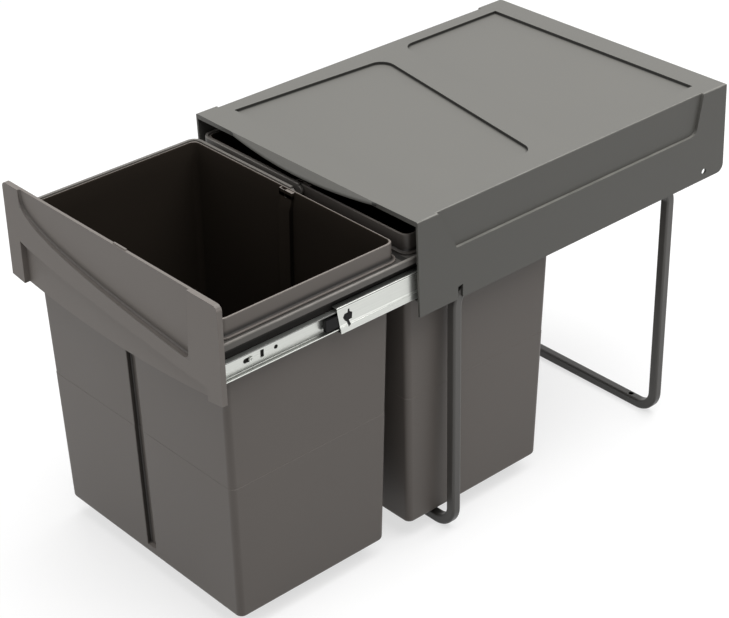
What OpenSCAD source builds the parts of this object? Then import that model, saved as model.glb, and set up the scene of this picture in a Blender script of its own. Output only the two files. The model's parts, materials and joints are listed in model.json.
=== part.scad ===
// Pull-out bin frame: a cover on two bent tube legs, telescopic slides, and a
// drawer that carries a front panel and two bins. Drawn partly pulled out.
// The origin is on the floor, midway between the four floor screw holes.

/* [Cover] */
// Width over the side skirts
cover_w = 300; // [285:1:330]
// Length from the front edge to the rear edge
cover_len = 403; // [395:1:440]
// Height of the cover's top above the floor
cover_top = 347; // [330:1:380]
// Height of the side skirts
skirt_h = 93; // [90:1:104]
// Wall of the skirts and the rear wall
skirt_t = 2.2; // [1.6:0.1:3]
// Thickness of the top
top_t = 4.8; // [4:0.1:6]
// Depth of the two shallow fields in the top
field_depth = 2.8; // [1:0.1:3]
// Height of the recessed band on each skirt
band_h = 41; // [34:1:44]
// Depth of the recessed band
band_depth = 3; // [1.5:0.1:3.6]
// Height of the rear wall
rear_wall_h = 30; // [15:1:60]
// How far the curved front lip reaches forward at its middle
lip_out = 5; // [3:0.5:8]
// How far the curved front lip drops at its middle
lip_drop = 6.5; // [3:0.5:8]
// Length of the curved front lip
lip_len = 204; // [150:1:240]
// Diameter of the screw hole at the rear of each skirt
side_hole_d = 6.4; // [4:0.2:7]

/* [Legs] */
// Size of the square tube
tube = 10; // [8:0.5:12]
// Wall of the square tube
tube_wall = 1.2; // [0.8:0.1:2]
// Outer corner radius of the square tube
tube_corner = 2.4; // [1.5:0.1:3]
// Centre-line radius of the bends at the floor
floor_bend = 20; // [14:1:30]
// Centre-line radius of the bends under the cover
top_bend = 15; // [12:1:25]
// Distance between the two legs
leg_pitch = 284; // [260:1:300]
// Distance of the front leg behind the cover's front edge
leg_setback = 51; // [44:1:60]
// Length of the straight tail that each leg ends in
tail_len = 46; // [30:1:70]
// Distance between the two screw holes of one leg
hole_pitch = 224; // [200:1:230]
// Diameter of the floor screw holes
floor_hole_d = 5.5; // [4:0.5:6.5]

/* [Slides] */
// Thickness of a closed slide, cabinet face to drawer face
slide_t = 9.8; // [9.5:0.1:11]
// Height of the outer slide member
outer_h = 35; // [34:0.5:38]
// Sheet of the slide members
sheet = 1; // [0.8:0.05:1.1]
// Sheet of the side rails
rail_t = 1.2; // [1:0.1:1.5]
// Diameter of the slide balls
ball_d = 2.4; // [2:0.1:2.5]
// Balls in one row of a ball cage
balls_per_row = 6; // [3:1:9]
// How far the drawer is drawn out, as modelled
drawer_out = 198; // [120:1:260]

/* [Front panel] */
// Thickness of the panel at its end strips
panel_t = 8.5; // [8:0.1:12]
// Thickness of the panel along its top and its ends
panel_edge_t = 5.2; // [4.5:0.1:7.5]
// Height of the panel's top edge above the cover's top
panel_rise = 5; // [0:0.5:10]
// Height of the panel at its two ends
panel_end_h = 92; // [85:1:100]
// How much further down the curved lower edge reaches at its middle
panel_sag = 11; // [4:0.5:16]
// Width of the raised strip at each end
strip_w = 19; // [12:1:30]
// Depth of the lower field below the wave
low_field_depth = 5.4; // [2:0.1:5.5]
// Depth of the upper scoop at the wave
scoop_depth = 5.8; // [2.6:0.1:6]
// Depth of the upper scoop at the top edge
scoop_top_depth = 2.4; // [1:0.1:2.5]

/* [Carriage] */
// Wall of the carriage frame
carriage_t = 2; // [1.6:0.1:2.6]
// Width of the outward flange along the carriage's sides
flange_w = 6.6; // [4:0.1:7]
// Space between the carriage and the cover's rear edge, when closed
rear_clear = 18; // [14:1:40]
// Width of the bar between the bins
cross_w = 16; // [14:0.5:24]

/* [Bins] */
// Height of the bins' floor above the ground
bin_lift = 18; // [13:0.5:40]
// Distance of the bins' rim below the cover's top
rim_drop = 18; // [16:0.5:20]
// Height of the rim band that stands above the carriage
rim_h = 18; // [13:0.5:20]
// How much further out the rim band stands than the body below it
rim_step = 2.3; // [1:0.1:2.6]
// Width of the flange that rests on the carriage
bin_flange = 3.5; // [2:0.1:3.7]
// Wall of the bins
bin_wall = 2.2; // [1.6:0.1:3]
// How much each side of a bin draws in from the carriage to the floor
bin_draft = 6.5; // [2:0.5:12]
// Radius of the bins' upright corners
bin_corner = 6; // [4:0.5:14]
// Radius of the rim band's corners
rim_corner = 6.5; // [5:0.5:14]
// Radius of the edge round a bin's floor
bin_floor_r = 4; // [3:0.5:8]
// Width of the groove down the middle of a bin's end walls
groove_w = 12.2; // [4:0.1:14]
// Depth of that groove
groove_depth = 4.2; // [1:0.1:4.5]

/* [Handles] */
// Thickness of the handle bar
handle_t = 2.8; // [2:0.1:3.2]
// Height of the handle bar
handle_h = 7; // [5:0.5:8]
// Diameter of the handle's pivot pins
pin_d = 4; // [3:0.1:4.5]
// Diameter of the handle's pivot eyes
eye_d = 9; // [7:0.5:10]

/* [Clearances] */
// Gap between pieces that are set side by side
fit_gap = 0.3; // [0.2:0.05:0.4]
// Gap between a bin and the carriage around it
bin_clear = 0.8; // [0.5:0.1:1.2]
// Gap between a handle and its bin's rim
handle_gap = 0.6; // [0.4:0.1:1]
// Gap between the front panel's back and a handle
panel_gap = 0.7; // [0.5:0.1:1.5]
// Gap between the closed front panel and the cover's lip
close_gap = 1.3; // [0.8:0.1:3]
// Radial play of a handle pin in its hole
pin_play = 0.1; // [0.05:0.01:0.1]
// Gap above and below the balls of the outer cage
outer_ball_gap = 0.3; // [0.25:0.05:0.4]
// Gap above and below the balls of the inner cage
inner_ball_gap = 0.4; // [0.25:0.05:0.5]
// Gap between two members' webs, where a cage's web lies
cage_room = 1.3; // [1.2:0.05:1.5]
// Gap between a slide member's open edge and the carriage
mouth_gap = 0.8; // [0.5:0.1:1.2]
// Gap between the slides and the back of the recessed bands above them
slide_head = 3.3; // [2:0.1:6]

/* [Hidden] */
$fn = 48;

anthracite = [0.36, 0.35, 0.33];
deep_grey = [0.30, 0.29, 0.28];
zinc = [0.80, 0.81, 0.80];
black_plastic = [0.10, 0.10, 0.10];
over = 1;
arc_steps = 6;

half_w = cover_w / 2;
front_y = -leg_pitch / 2 - leg_setback;
rear_y = front_y + cover_len;
skirt_in = half_w - skirt_t;

// Across the right side, from the skirt inwards
rail_x1 = skirt_in - fit_gap;
rail_x0 = rail_x1 - rail_t;
drawer_x = rail_x0 - slide_t;
carriage_in = drawer_x - carriage_t;
body_half = carriage_in - bin_clear;
rim_half = body_half + rim_step;
handle_in = rim_half + handle_gap;

// Upwards
leg_x = rail_x1 - tube / 2;
rail_top = cover_top - band_h - skirt_t - fit_gap;
slide_z = cover_top - band_h - skirt_t - slide_head - outer_h / 2;
rail_low = slide_z - outer_h / 2 - fit_gap - rail_t;
tail_z = rail_low - tube / 2;
middle_h = outer_h - 2 * (sheet + ball_d + 2 * outer_ball_gap);
inner_h = middle_h - 2 * (sheet + ball_d + 2 * inner_ball_gap);
rim_top = cover_top - rim_drop;
carriage_top = rim_top - rim_h;
carriage_skirt = 3;
carriage_low = slide_z - inner_h / 2 - carriage_skirt;
flange_t = 6.5;

// Along the drawer, at its closed place
panel_back = front_y - lip_out - close_gap;
panel_front = panel_back - panel_t;
rim_front = panel_back + panel_gap + handle_t + handle_gap;
body_front = rim_front + rim_step;
carriage_rear = rear_y - rear_clear;
body_gap = cross_w + 2 * bin_clear;
body_len = (carriage_rear - carriage_t - bin_clear - body_front - body_gap) / 2;
rim_len = body_len + 2 * rim_step;
bin_pitch = body_len + body_gap;
bin_y = body_front + body_len / 2;
cross_y = body_front + body_len + body_gap / 2;

// Slide members, at the closed place
slide_inset = 10;
outer_front = front_y + slide_inset;
outer_rear = rear_y - slide_inset;
middle_inset = 3;
middle_front = outer_front + middle_inset;
buffer_t = 3;
middle_rear = outer_rear - buffer_t - fit_gap;
inner_inset = 1;
inner_end = 3;
inner_front = panel_back + inner_inset;
inner_rear = carriage_rear - inner_end;
cage_len = 140;
outer_cage_from = 102;
inner_cage_from = 122;
outer_cage_y = outer_front + outer_cage_from;
inner_cage_y = outer_front + inner_cage_from;
cage_sheet = 0.5;
outer_x = rail_x0;
outer_mouth = drawer_x + mouth_gap;
middle_x = outer_x - sheet - cage_room;
mouth_step = 0.6;
inner_reach = 0.2;
middle_mouth = outer_mouth + mouth_step;
inner_mouth = middle_x - sheet - cage_room + inner_reach;
outer_ball_x = (outer_mouth + middle_x) / 2;
inner_ball_x = (middle_mouth + inner_mouth) / 2;
outer_ball_z = (outer_h / 2 - sheet + middle_h / 2) / 2;
inner_ball_z = (middle_h / 2 - sheet + inner_h / 2) / 2;

// Handle pivot
pivot_drop = 5.5;
bar_drop = 0.5;
pivot_z = rim_top - pivot_drop;
handle_z = pivot_z - bar_drop;

// Front panel, as heights about the cover's top
panel_top = panel_rise;
wave_from_left = 24;
wave_from_right = 53;
wave_left = -half_w + wave_from_left;
wave_right = half_w - wave_from_right;
wave_drop = 60.5;
wave_bend = 0.38;
low_left_z = -47;
low_right_z = -78;
low_bend = 0.7;
scoop_from_right = 38;
scoop_right = half_w - scoop_from_right;
scoop_draw = 4;
scoop_fall = 1;
scoop_r = 6;
panel_r = 5;

function unit(v) = v / norm(v);

// Points of the arc that rounds corner p between its neighbours a and b
function corner(a, p, b, r) =
    r <= 0 ? [p] :
    let (
        u = unit(a - p),
        v = unit(b - p),
        ang = acos(u * v),
        c = p + unit(u + v) * r / sin(ang / 2),
        s = p + u * r / tan(ang / 2) - c,
        e = p + v * r / tan(ang / 2) - c,
        from = atan2(s[1], s[0]),
        turn = (atan2(e[1], e[0]) - from + 540) % 360 - 180
    )
    [for (i = [0 : arc_steps]) let (t = from + turn * i / arc_steps) c + r * [cos(t), sin(t)]];

// A polygon with each corner rounded to its own radius
function rounded(pts, radii) =
    let (n = len(pts))
    [for (i = [0 : n - 1]) each corner(pts[(i + n - 1) % n], pts[i], pts[(i + 1) % n], radii[i])];

function rounded_box(w, l, r) =
    rounded([[-w / 2, -l / 2], [w / 2, -l / 2], [w / 2, l / 2], [-w / 2, l / 2]], [r, r, r, r]);

// Height of the wave across the front panel, at x
function wave_z(x) = -wave_drop * pow((x - wave_left) / (wave_right - wave_left), wave_bend);

// Height of the lower field's upper edge, at x
function low_z(x) =
    let (t = (x + half_w - strip_w) / (cover_w - 2 * strip_w))
    low_left_z + (low_right_z - low_left_z) * pow(t, low_bend);

// Lower edge of the front panel, at x
function sag_z(x) = panel_top - panel_end_h - panel_sag * (1 - pow(x / half_w, 2));

module left_of() {
    mirror([1, 0, 0]) children();
}

// Extrudes a (y, z) outline along x, from x0 to x1
module across(x0, x1) {
    translate([x0, 0, 0])
        rotate([90, 0, 90])
            linear_extrude(x1 - x0) children();
}

// Extrudes an (x, z) outline along y, from y0 to y1
module along(y0, y1) {
    translate([0, y1, 0])
        rotate([90, 0, 0])
            linear_extrude(y1 - y0) children();
}

module slab(x0, x1, y0, y1, z0, z1) {
    translate([x0, y0, z0]) cube([x1 - x0, y1 - y0, z1 - z0]);
}

// Pieces that ride on the drawer, drawn out by a share of its way
module drawn(share) {
    translate([0, -drawer_out * share, 0]) children();
}

// Outline of a skirt, y from the front edge and z from the top
skirt_rake = 2.5;
rear_rake = 4;
skirt_r = 8;
skirt_outline = rounded(
    [[0, 0], [skirt_rake, -skirt_h], [cover_len + rear_rake, -skirt_h], [cover_len, 0]],
    [0, 0, skirt_r, 0]);
band_front = 24;
band_slant = 22;
band_rear = 33;
band_r = 8;
function band_outline(grow) = rounded(
    [[band_front - grow, over], [band_front + band_slant - grow, -band_h - grow],
     [cover_len - band_rear - band_r + grow, -band_h - grow], [cover_len - band_rear + grow, over]],
    [0, 0, band_r, 0]);

// Shallow fields of the top, x about the middle and y from the front edge
field_margin = 19;
field_narrow = 30;
field_front = 30;
field_rear = 27;
split_left = 210.5;
split_right = 168.8;
split_rib = 35;
field_r = 14;
field_end_r = 1;
front_field = rounded(
    [[-half_w + field_margin, field_front], [half_w - field_margin, field_front],
     [half_w - field_narrow, split_right], [-half_w + field_narrow, split_left]],
    [field_end_r, field_end_r, field_r, field_r]);
rear_field = rounded(
    [[-half_w + field_margin, split_left + split_rib], [half_w - field_margin, split_right + split_rib],
     [half_w - field_margin, cover_len - field_rear], [-half_w + field_margin, cover_len - field_rear]],
    [field_r, field_r, field_end_r, field_end_r]);
notch_w = 6;
notch_h = 13;
side_hole_back = 25;
side_hole_up = 8.6;

// The lip that curves forward and down from the middle of the front edge
lip_t = 3;
lip_trim = 3;
lip_steps = 20;
module cover_lip() {
    chord = lip_len / 2;
    end = chord - lip_trim;
    curve = [for (i = [-lip_steps : lip_steps]) let (x = end * i / lip_steps)
        [x, -lip_out * (1 - pow(x / chord, 2))]];
    intersection() {
        translate([0, 0, -2 * lip_drop - lip_t])
            linear_extrude(2 * lip_drop + lip_t) polygon(concat(curve, [[end, over], [-end, over]]));
        across(-chord, chord)
            polygon([[over, 0], [0, 0], [-2 * lip_out, -2 * lip_drop],
                     [-2 * lip_out, -2 * lip_drop - lip_t], [0, -lip_t], [over, -lip_t]]);
    }
}

module top_cover() {
    color(anthracite)
        translate([0, front_y, cover_top])
            difference() {
                union() {
                    difference() {
                        across(-half_w, half_w) polygon(skirt_outline);
                        cover_hollow();
                    }
                    cover_lip();
                }
                for (side = [-1, 1])
                    translate([side * half_w, 0, 0])
                        across(-band_depth, band_depth) polygon(band_outline(0));
                for (field = [front_field, rear_field])
                    translate([0, 0, -field_depth]) linear_extrude(field_depth + over) polygon(field);
                for (side = [-1, 1])
                    translate([side * half_w, leg_setback - notch_w / 2, -skirt_h - over])
                        slab(-2 * skirt_t, 2 * skirt_t, 0, notch_w, 0, notch_h + over);
                translate([-half_w - over, cover_len - side_hole_back, -skirt_h + side_hole_up])
                    rotate([0, 90, 0]) cylinder(d = side_hole_d, h = cover_w + 2 * over);
            }
}

// The space under the cover, less the thickness behind each recessed band
module cover_hollow() {
    difference() {
        slab(-skirt_in, skirt_in, -over, cover_len + 2 * rear_rake, -skirt_h - over, -top_t);
        for (side = [-1, 1])
            translate([side * half_w, 0, 0])
                across(-band_depth - skirt_t, band_depth + skirt_t) polygon(band_outline(skirt_t));
        slab(-half_w, half_w, cover_len - skirt_t, cover_len + 3 * rear_rake, -rear_wall_h, 0);
    }
}

module tube_face(size, r) {
    union() {
        square([size - 2 * r, size], center = true);
        square([size, size - 2 * r], center = true);
        for (x = [-1, 1], y = [-1, 1])
            translate([x * (size / 2 - r), y * (size / 2 - r)]) circle(r = r);
    }
}

// One leg at y = 0, its tails turned towards +y
module bent_leg(size, r, tail_end) {
    bar = leg_x - floor_bend;
    rise = tail_z - top_bend;
    translate([-bar, 0, tube / 2]) rotate([90, 0, 90]) linear_extrude(2 * bar) tube_face(size, r);
    for (side = [0, 1])
        mirror([side, 0, 0]) {
            translate([bar, 0, tube / 2 + floor_bend])
                rotate([90, 0, 0])
                    rotate([0, 0, -90])
                        rotate_extrude(angle = 90) translate([floor_bend, 0]) tube_face(size, r);
            translate([leg_x, 0, tube / 2 + floor_bend])
                linear_extrude(rise - tube / 2 - floor_bend) tube_face(size, r);
            translate([leg_x, top_bend, rise])
                rotate([90, 0, 90])
                    rotate([0, 0, 90])
                        rotate_extrude(angle = 90) translate([top_bend, 0]) tube_face(size, r);
            translate([leg_x, top_bend, tail_z])
                rotate([-90, 0, 0]) linear_extrude(tail_end) tube_face(size, r);
        }
}

module leg() {
    color(deep_grey)
        difference() {
            bent_leg(tube, tube_corner, tail_len);
            bent_leg(tube - 2 * tube_wall, tube_corner - tube_wall, tail_len + over);
            for (side = [-1, 1])
                translate([side * hole_pitch / 2, 0, -over])
                    cylinder(d = floor_hole_d, h = tube + 2 * over);
        }
}

module front_leg() {
    translate([0, -leg_pitch / 2, 0]) leg();
}

module rear_leg() {
    mirror([0, 1, 0]) front_leg();
}

plug_lip = 1.5;
plug_in = 8;
plug_play = 0.05;
module tube_plugs() {
    bore = tube - 2 * tube_wall - 2 * plug_play;
    color(black_plastic)
        for (mx = [0, 1], my = [0, 1])
            mirror([mx, 0, 0])
                mirror([0, my, 0])
                    translate([leg_x, -leg_pitch / 2 + top_bend + tail_len, tail_z])
                        rotate([-90, 0, 0]) {
                            linear_extrude(plug_lip) tube_face(tube, tube_corner);
                            translate([0, 0, -plug_in])
                                linear_extrude(plug_in) tube_face(bore, tube_corner - tube_wall);
                        }
}

rail_front = 8;
rail_end = 42;
rail_flange = 10;
rail_top_flange = 6;
rail_y0 = front_y + rail_front;
rail_y1 = rear_y - rail_end;
module right_side_rail() {
    color(deep_grey)
        difference() {
            along(rail_y0, rail_y1)
                polygon([
                    [rail_x1, rail_low], [rail_x1, rail_top], [rail_x1 - rail_top_flange, rail_top],
                    [rail_x1 - rail_top_flange, rail_top - rail_t], [rail_x0, rail_top - rail_t],
                    [rail_x0, rail_low + rail_t], [rail_x1 - rail_flange, rail_low + rail_t],
                    [rail_x1 - rail_flange, rail_low]]);
            rivet_holes();
        }
}

module left_side_rail() {
    left_of() right_side_rail();
}

rivet_d = 4;
rivet_play = 0.05;
rivet_end = 22;
rivet_places = [rail_y0 + rivet_end, (rail_y0 + rail_y1) / 2, rail_y1 - rivet_end];
module rivets(d, past) {
    for (y = rivet_places)
        translate([outer_x - sheet - past, y, slide_z])
            rotate([0, 90, 0]) cylinder(d = d, h = sheet + rail_t + 2 * past);
}

module rivet_holes() {
    rivets(rivet_d + 2 * rivet_play, over);
}

module slide_rivets() {
    color(zinc)
        for (side = [0, 1])
            mirror([side, 0, 0]) rivets(rivet_d, 0);
}

// A channel of height h: its web is at x = web, its open side at x = mouth
module channel(web, mouth, h, t) {
    depth = abs(web - mouth);
    difference() {
        translate([min(web, mouth), -h / 2]) square([depth, h]);
        translate([web > mouth ? mouth - over : web + t, -h / 2 + t])
            square([depth - t + over, h - 2 * t]);
    }
}

// The turned-in edges that keep the balls in the outer member
outer_lip = 0.8;
module right_outer_slide() {
    color(zinc)
        difference() {
            along(outer_front, outer_rear)
                translate([0, slide_z]) {
                    channel(outer_x, outer_mouth, outer_h, sheet);
                    for (side = [-1, 1])
                        translate([outer_mouth + sheet / 2, side * (outer_h - sheet - outer_lip) / 2])
                            square([sheet, sheet + outer_lip], center = true);
                }
            rivet_holes();
        }
}

module left_outer_slide() {
    left_of() right_outer_slide();
}

module right_rear_buffer() {
    color(black_plastic)
        slab(middle_mouth, outer_x - sheet, outer_rear - buffer_t, outer_rear,
             slide_z - middle_h / 2 + sheet, slide_z + middle_h / 2 - sheet);
}

module left_rear_buffer() {
    left_of() right_rear_buffer();
}

front_slant = 5;
// The latch-shaped window near the front end, as (y, z) from the front end and the middle height
latch_window = [
    [12.6, 8.3], [14.2, 8.3], [14.4, 5.6], [17.3, 3.6], [16.8, -2.2], [13.6, -2.6], [15.3, -7.2],
    [12.9, -9.4], [11.2, -3.6], [8.6, -1], [7, 1.9], [8.6, 5], [12, 5.2]];
track_step = 0.35;
track_low = -6.5;
track_high = 11;
module right_middle_slide() {
    low = slide_z - middle_h / 2 - over;
    high = slide_z + middle_h / 2 + over;
    color(zinc)
        drawn(0.5)
            difference() {
                along(middle_front, middle_rear)
                    translate([0, slide_z]) channel(middle_x, middle_mouth, middle_h, sheet);
                across(middle_mouth - over, middle_x + over)
                    polygon([[middle_front - over, low], [middle_front + front_slant, low],
                             [middle_front, high], [middle_front - over, high]]);
                across(middle_x - 2 * sheet, middle_x + over)
                    translate([middle_front, slide_z]) polygon(latch_window);
                slab(middle_x - track_step, middle_x + over, middle_front - over, middle_rear + over,
                     slide_z + track_low, slide_z + track_high);
            }
}

module left_middle_slide() {
    left_of() right_middle_slide();
}

clip_out = 11;
clip_end = 19.5;
clip_pad_end = 10;
clip_t = 0.5;
nose_h = 11;
nose_gap = 0.5;
boss_y0 = 9.8;
boss_y1 = 16;
boss_z0 = -1;
boss_z1 = 3.4;
module right_stop_clip() {
    x1 = middle_x - sheet;
    top = middle_h / 2 - sheet;
    pad = top - inner_h / 2 - fit_gap;
    y0 = middle_front + front_slant + fit_gap;
    y1 = middle_front + clip_end;
    nose_x = drawer_x + sheet + screw_head_h + nose_gap;
    color(black_plastic)
        drawn(0.5) {
            slab(x1 - clip_t, x1, y0, y1, slide_z - top, slide_z + top);
            slab(nose_x, x1, middle_front - clip_out, y1, slide_z - nose_h / 2, slide_z + nose_h / 2);
            for (side = [-1, 1])
                translate([0, 0, slide_z + side * (top - pad / 2) - pad / 2])
                    slab(middle_mouth, x1, y0, middle_front + clip_pad_end, 0, pad);
            slab(x1, middle_x - 2 * track_step, middle_front + boss_y0, middle_front + boss_y1,
                 slide_z + boss_z0, slide_z + boss_z1);
        }
}

module left_stop_clip() {
    left_of() right_stop_clip();
}

// Places of the balls along a cage that starts at y0
ball_play = 0.1;
function ball_ys(y0) = [for (i = [0 : balls_per_row - 1]) y0 + (i + 0.5) * cage_len / balls_per_row];

module ball_set(x, z, y0) {
    for (y = ball_ys(y0), side = [-1, 1])
        translate([x, y, slide_z + side * z]) sphere(d = ball_d);
}

// Two strips with holes for the balls, joined by a web in the gap beside the middle member
cage_edge = 0.8;
module cage(web, z, y0, ball_x) {
    difference() {
        along(y0, y0 + cage_len)
            translate([0, slide_z])
                channel(web, ball_x - ball_d / 2 - cage_edge, 2 * z + cage_sheet, cage_sheet);
        for (y = ball_ys(y0), side = [-1, 1])
            translate([ball_x, y, slide_z + side * z])
                cylinder(d = ball_d + 2 * ball_play, h = 2 * cage_sheet, center = true);
    }
}

cage_play = (cage_room - cage_sheet) / 2;
module right_outer_cage() {
    color(black_plastic)
        drawn(0.25) cage(outer_x - sheet - cage_play, outer_ball_z, outer_cage_y, outer_ball_x);
}

module left_outer_cage() {
    left_of() right_outer_cage();
}

module right_outer_balls() {
    color(zinc)
        drawn(0.25) ball_set(outer_ball_x, outer_ball_z, outer_cage_y);
}

module left_outer_balls() {
    left_of() right_outer_balls();
}

module right_inner_cage() {
    color(black_plastic)
        drawn(0.75) cage(middle_x - sheet - fit_gap, inner_ball_z, inner_cage_y, inner_ball_x);
}

module left_inner_cage() {
    left_of() right_inner_cage();
}

module right_inner_balls() {
    color(zinc)
        drawn(0.75) ball_set(inner_ball_x, inner_ball_z, inner_cage_y);
}

module left_inner_balls() {
    left_of() right_inner_balls();
}

// Screw places along the drawer, at its closed place
screw_end = 16;
screw_count = 4;
slot_from_front = 22.8;
slot_len = 10.2;
slot_w = 4.4;
slot_to_screw = 2.5;
first_screw = inner_front + slot_from_front + slot_len - slot_to_screw;
screw_step = (inner_rear - screw_end - first_screw) / (screw_count - 1);
screw_places = [for (i = [0 : screw_count - 1]) first_screw + i * screw_step];
screw_d = 3.4;
screw_head_d = 5;
screw_head_h = 1.2;
screw_play = 0.1;
module drawer_screw(y, play, past) {
    translate([carriage_in - past, y, slide_z])
        rotate([0, 90, 0]) cylinder(d = screw_d + 2 * play, h = carriage_t + sheet + 2 * past);
}

window_from_front = 40.7;
window_w = 3.6;
window_h = 7;
dot_from_front = 57;
dot_d = 4;
module right_inner_slide() {
    color(zinc)
        drawn(1)
            difference() {
                along(inner_front, inner_rear)
                    translate([0, slide_z]) channel(drawer_x, inner_mouth, inner_h, sheet);
                for (y = screw_places) drawer_screw(y, screw_play, over);
                translate([drawer_x - over, inner_front + slot_from_front, slide_z]) {
                    translate([0, slot_w / 2, -slot_w / 2])
                        cube([sheet + 2 * over, slot_len - slot_w, slot_w]);
                    for (y = [slot_w / 2, slot_len - slot_w / 2])
                        translate([0, y, 0]) rotate([0, 90, 0]) cylinder(d = slot_w, h = sheet + 2 * over);
                }
                translate([drawer_x - over, inner_front + window_from_front, slide_z - window_h / 2])
                    cube([sheet + 2 * over, window_w, window_h]);
                translate([drawer_x - over, inner_front + dot_from_front, slide_z])
                    rotate([0, 90, 0]) cylinder(d = dot_d, h = sheet + 2 * over);
            }
}

module left_inner_slide() {
    left_of() right_inner_slide();
}

module inner_slide_screws() {
    color(zinc)
        drawn(1)
            for (side = [0, 1], y = screw_places)
                mirror([side, 0, 0]) {
                    drawer_screw(y, 0, 0);
                    translate([drawer_x + sheet, y, slide_z])
                        rotate([0, 90, 0]) cylinder(d = screw_head_d, h = screw_head_h);
                }
}

panel_screw_in_x = 50;
panel_screw_out_x = 112;
panel_screw_xs = [-panel_screw_out_x, -panel_screw_in_x, panel_screw_in_x, panel_screw_out_x];
panel_screw_in = 2;
front_beam = body_front - bin_clear - panel_back;
module panel_screw(x, play, past) {
    translate([x, panel_back - panel_screw_in, slide_z])
        rotate([-90, 0, 0]) cylinder(d = screw_d + 2 * play, h = panel_screw_in + front_beam + past);
}

module panel_screw_head(x, play, past) {
    translate([x, panel_back + front_beam - 2 * screw_head_h, slide_z])
        rotate([-90, 0, 0]) cylinder(d = screw_head_d + 2 * play, h = 2 * screw_head_h + past);
}

module panel_screws() {
    color(zinc)
        drawn(1)
            for (x = panel_screw_xs) {
                panel_screw(x, 0, 0);
                panel_screw_head(x, 0, 0);
            }
}

// One opening of the carriage, for a bin whose middle is at y
module bin_opening(y) {
    w = 2 * carriage_in;
    l = body_len + 2 * bin_clear;
    translate([0, y, carriage_low - over])
        linear_extrude(carriage_top - carriage_low + 2 * over)
            polygon(rounded_box(w, l, bin_corner + bin_clear));
}

module carriage_frame() {
    color(deep_grey)
        drawn(1)
            difference() {
                union() {
                    slab(-drawer_x, drawer_x, panel_back, carriage_rear, carriage_low, carriage_top);
                    slab(-drawer_x - flange_w, drawer_x + flange_w, panel_back, carriage_rear,
                         carriage_top - flange_t, carriage_top);
                }
                bin_opening(bin_y);
                bin_opening(bin_y + bin_pitch);
                slab(-drawer_x + 4 * carriage_t, drawer_x - 4 * carriage_t,
                     cross_y - cross_w / 2 + carriage_t, cross_y + cross_w / 2 - carriage_t,
                     carriage_low - over, carriage_top - carriage_t);
                for (side = [0, 1], y = screw_places)
                    mirror([side, 0, 0]) drawer_screw(y, screw_play, over);
                for (x = panel_screw_xs) {
                    panel_screw(x, screw_play, over);
                    panel_screw_head(x, screw_play, over);
                }
            }
}

wave_steps = 24;
function span(x0, x1) = [for (i = [0 : wave_steps]) x0 + (x1 - x0) * i / wave_steps];

// The scoop above the wave, as an (x, z) outline
scoop_outline = concat(
    [[wave_left, panel_top + over]],
    [for (i = [0 : wave_steps])
        let (x = wave_left + (wave_right - wave_left) * pow(i / wave_steps, 2)) [x, wave_z(x)]],
    corner([wave_right, -wave_drop], [scoop_right - scoop_draw, -wave_drop - scoop_fall],
           [scoop_right, panel_top], scoop_r),
    [[scoop_right, panel_top + over]]);

// The field below the wave
low_outline = concat(
    [for (x = span(-half_w + strip_w, half_w - strip_w)) [x, low_z(x)]],
    [[half_w - strip_w, -2 * panel_end_h], [-half_w + strip_w, -2 * panel_end_h]]);

panel_outline = concat(
    corner([-half_w, -panel_end_h], [-half_w, panel_top], [half_w, panel_top], panel_r),
    corner([-half_w, panel_top], [half_w, panel_top], [half_w, -panel_end_h], panel_r),
    [for (x = span(half_w, -half_w)) [x, sag_z(x)]]);

module front_panel() {
    tab_x = 10;
    tab_w = 17;
    tab_t = 2;
    tab_h = 1;
    edge_w = 8;
    edge_back = panel_front + panel_edge_t;
    lean = atan2(scoop_depth - scoop_top_depth, wave_drop + panel_top);
    color(anthracite)
        drawn(1)
            translate([0, 0, cover_top])
                difference() {
                    union() {
                        along(panel_front, panel_back) polygon(panel_outline);
                        slab(tab_x, tab_x + tab_w, edge_back - tab_t, edge_back, 0, panel_top + tab_h);
                    }
                    slab(-cover_w, cover_w, edge_back, panel_back + over,
                         panel_top - edge_w, panel_top + 2 * tab_h);
                    for (side = [0, 1])
                        mirror([side, 0, 0])
                            slab(half_w - edge_w, cover_w, edge_back, panel_back + over,
                                 -cover_top, panel_top);
                    along(panel_front - over, panel_front + low_field_depth) polygon(low_outline);
                    intersection() {
                        along(panel_front - over, panel_back + over) polygon(scoop_outline);
                        translate([0, panel_front + scoop_top_depth, panel_top])
                            rotate([lean, 0, 0])
                                slab(-cover_w, cover_w, -5 * panel_t, 0, -4 * wave_drop, wave_drop);
                    }
                    translate([0, 0, -cover_top])
                        for (x = panel_screw_xs) panel_screw(x, screw_play, over);
                }
}

// A level slice of a bin: how far it draws in from the body's top size
module bin_slice(inset, z) {
    thin = 0.02;
    translate([0, 0, z])
        linear_extrude(thin)
            polygon(rounded_box(2 * (body_half - inset), body_len - 2 * inset, bin_corner));
}

// The tapered body of a bin, drawn in by wall all round
module bin_body(wall, z1) {
    span_z = carriage_top - bin_lift;
    r = bin_floor_r - wall / 2;
    z0 = bin_lift + wall;
    function inset_at(z) = bin_draft * (carriage_top - z) / span_z + wall;
    hull() {
        bin_slice(inset_at(z0) + r, z0);
        bin_slice(inset_at(z0) + r * (1 - sin(45)), z0 + r * (1 - cos(45)));
        bin_slice(inset_at(z0 + r), z0 + r);
        bin_slice(inset_at(z1), z1);
    }
}

// A plate through the middle of a bin's two end walls
module mid_plate(w, z0, z1) {
    slab(-w / 2, w / 2, -rim_len, rim_len, z0, z1);
}

// The bosses inside the rim that the handle's pins turn in
boss_w = 18;
boss_in = 3;
boss_below = 3;
boss_drop = 0.4;

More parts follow.
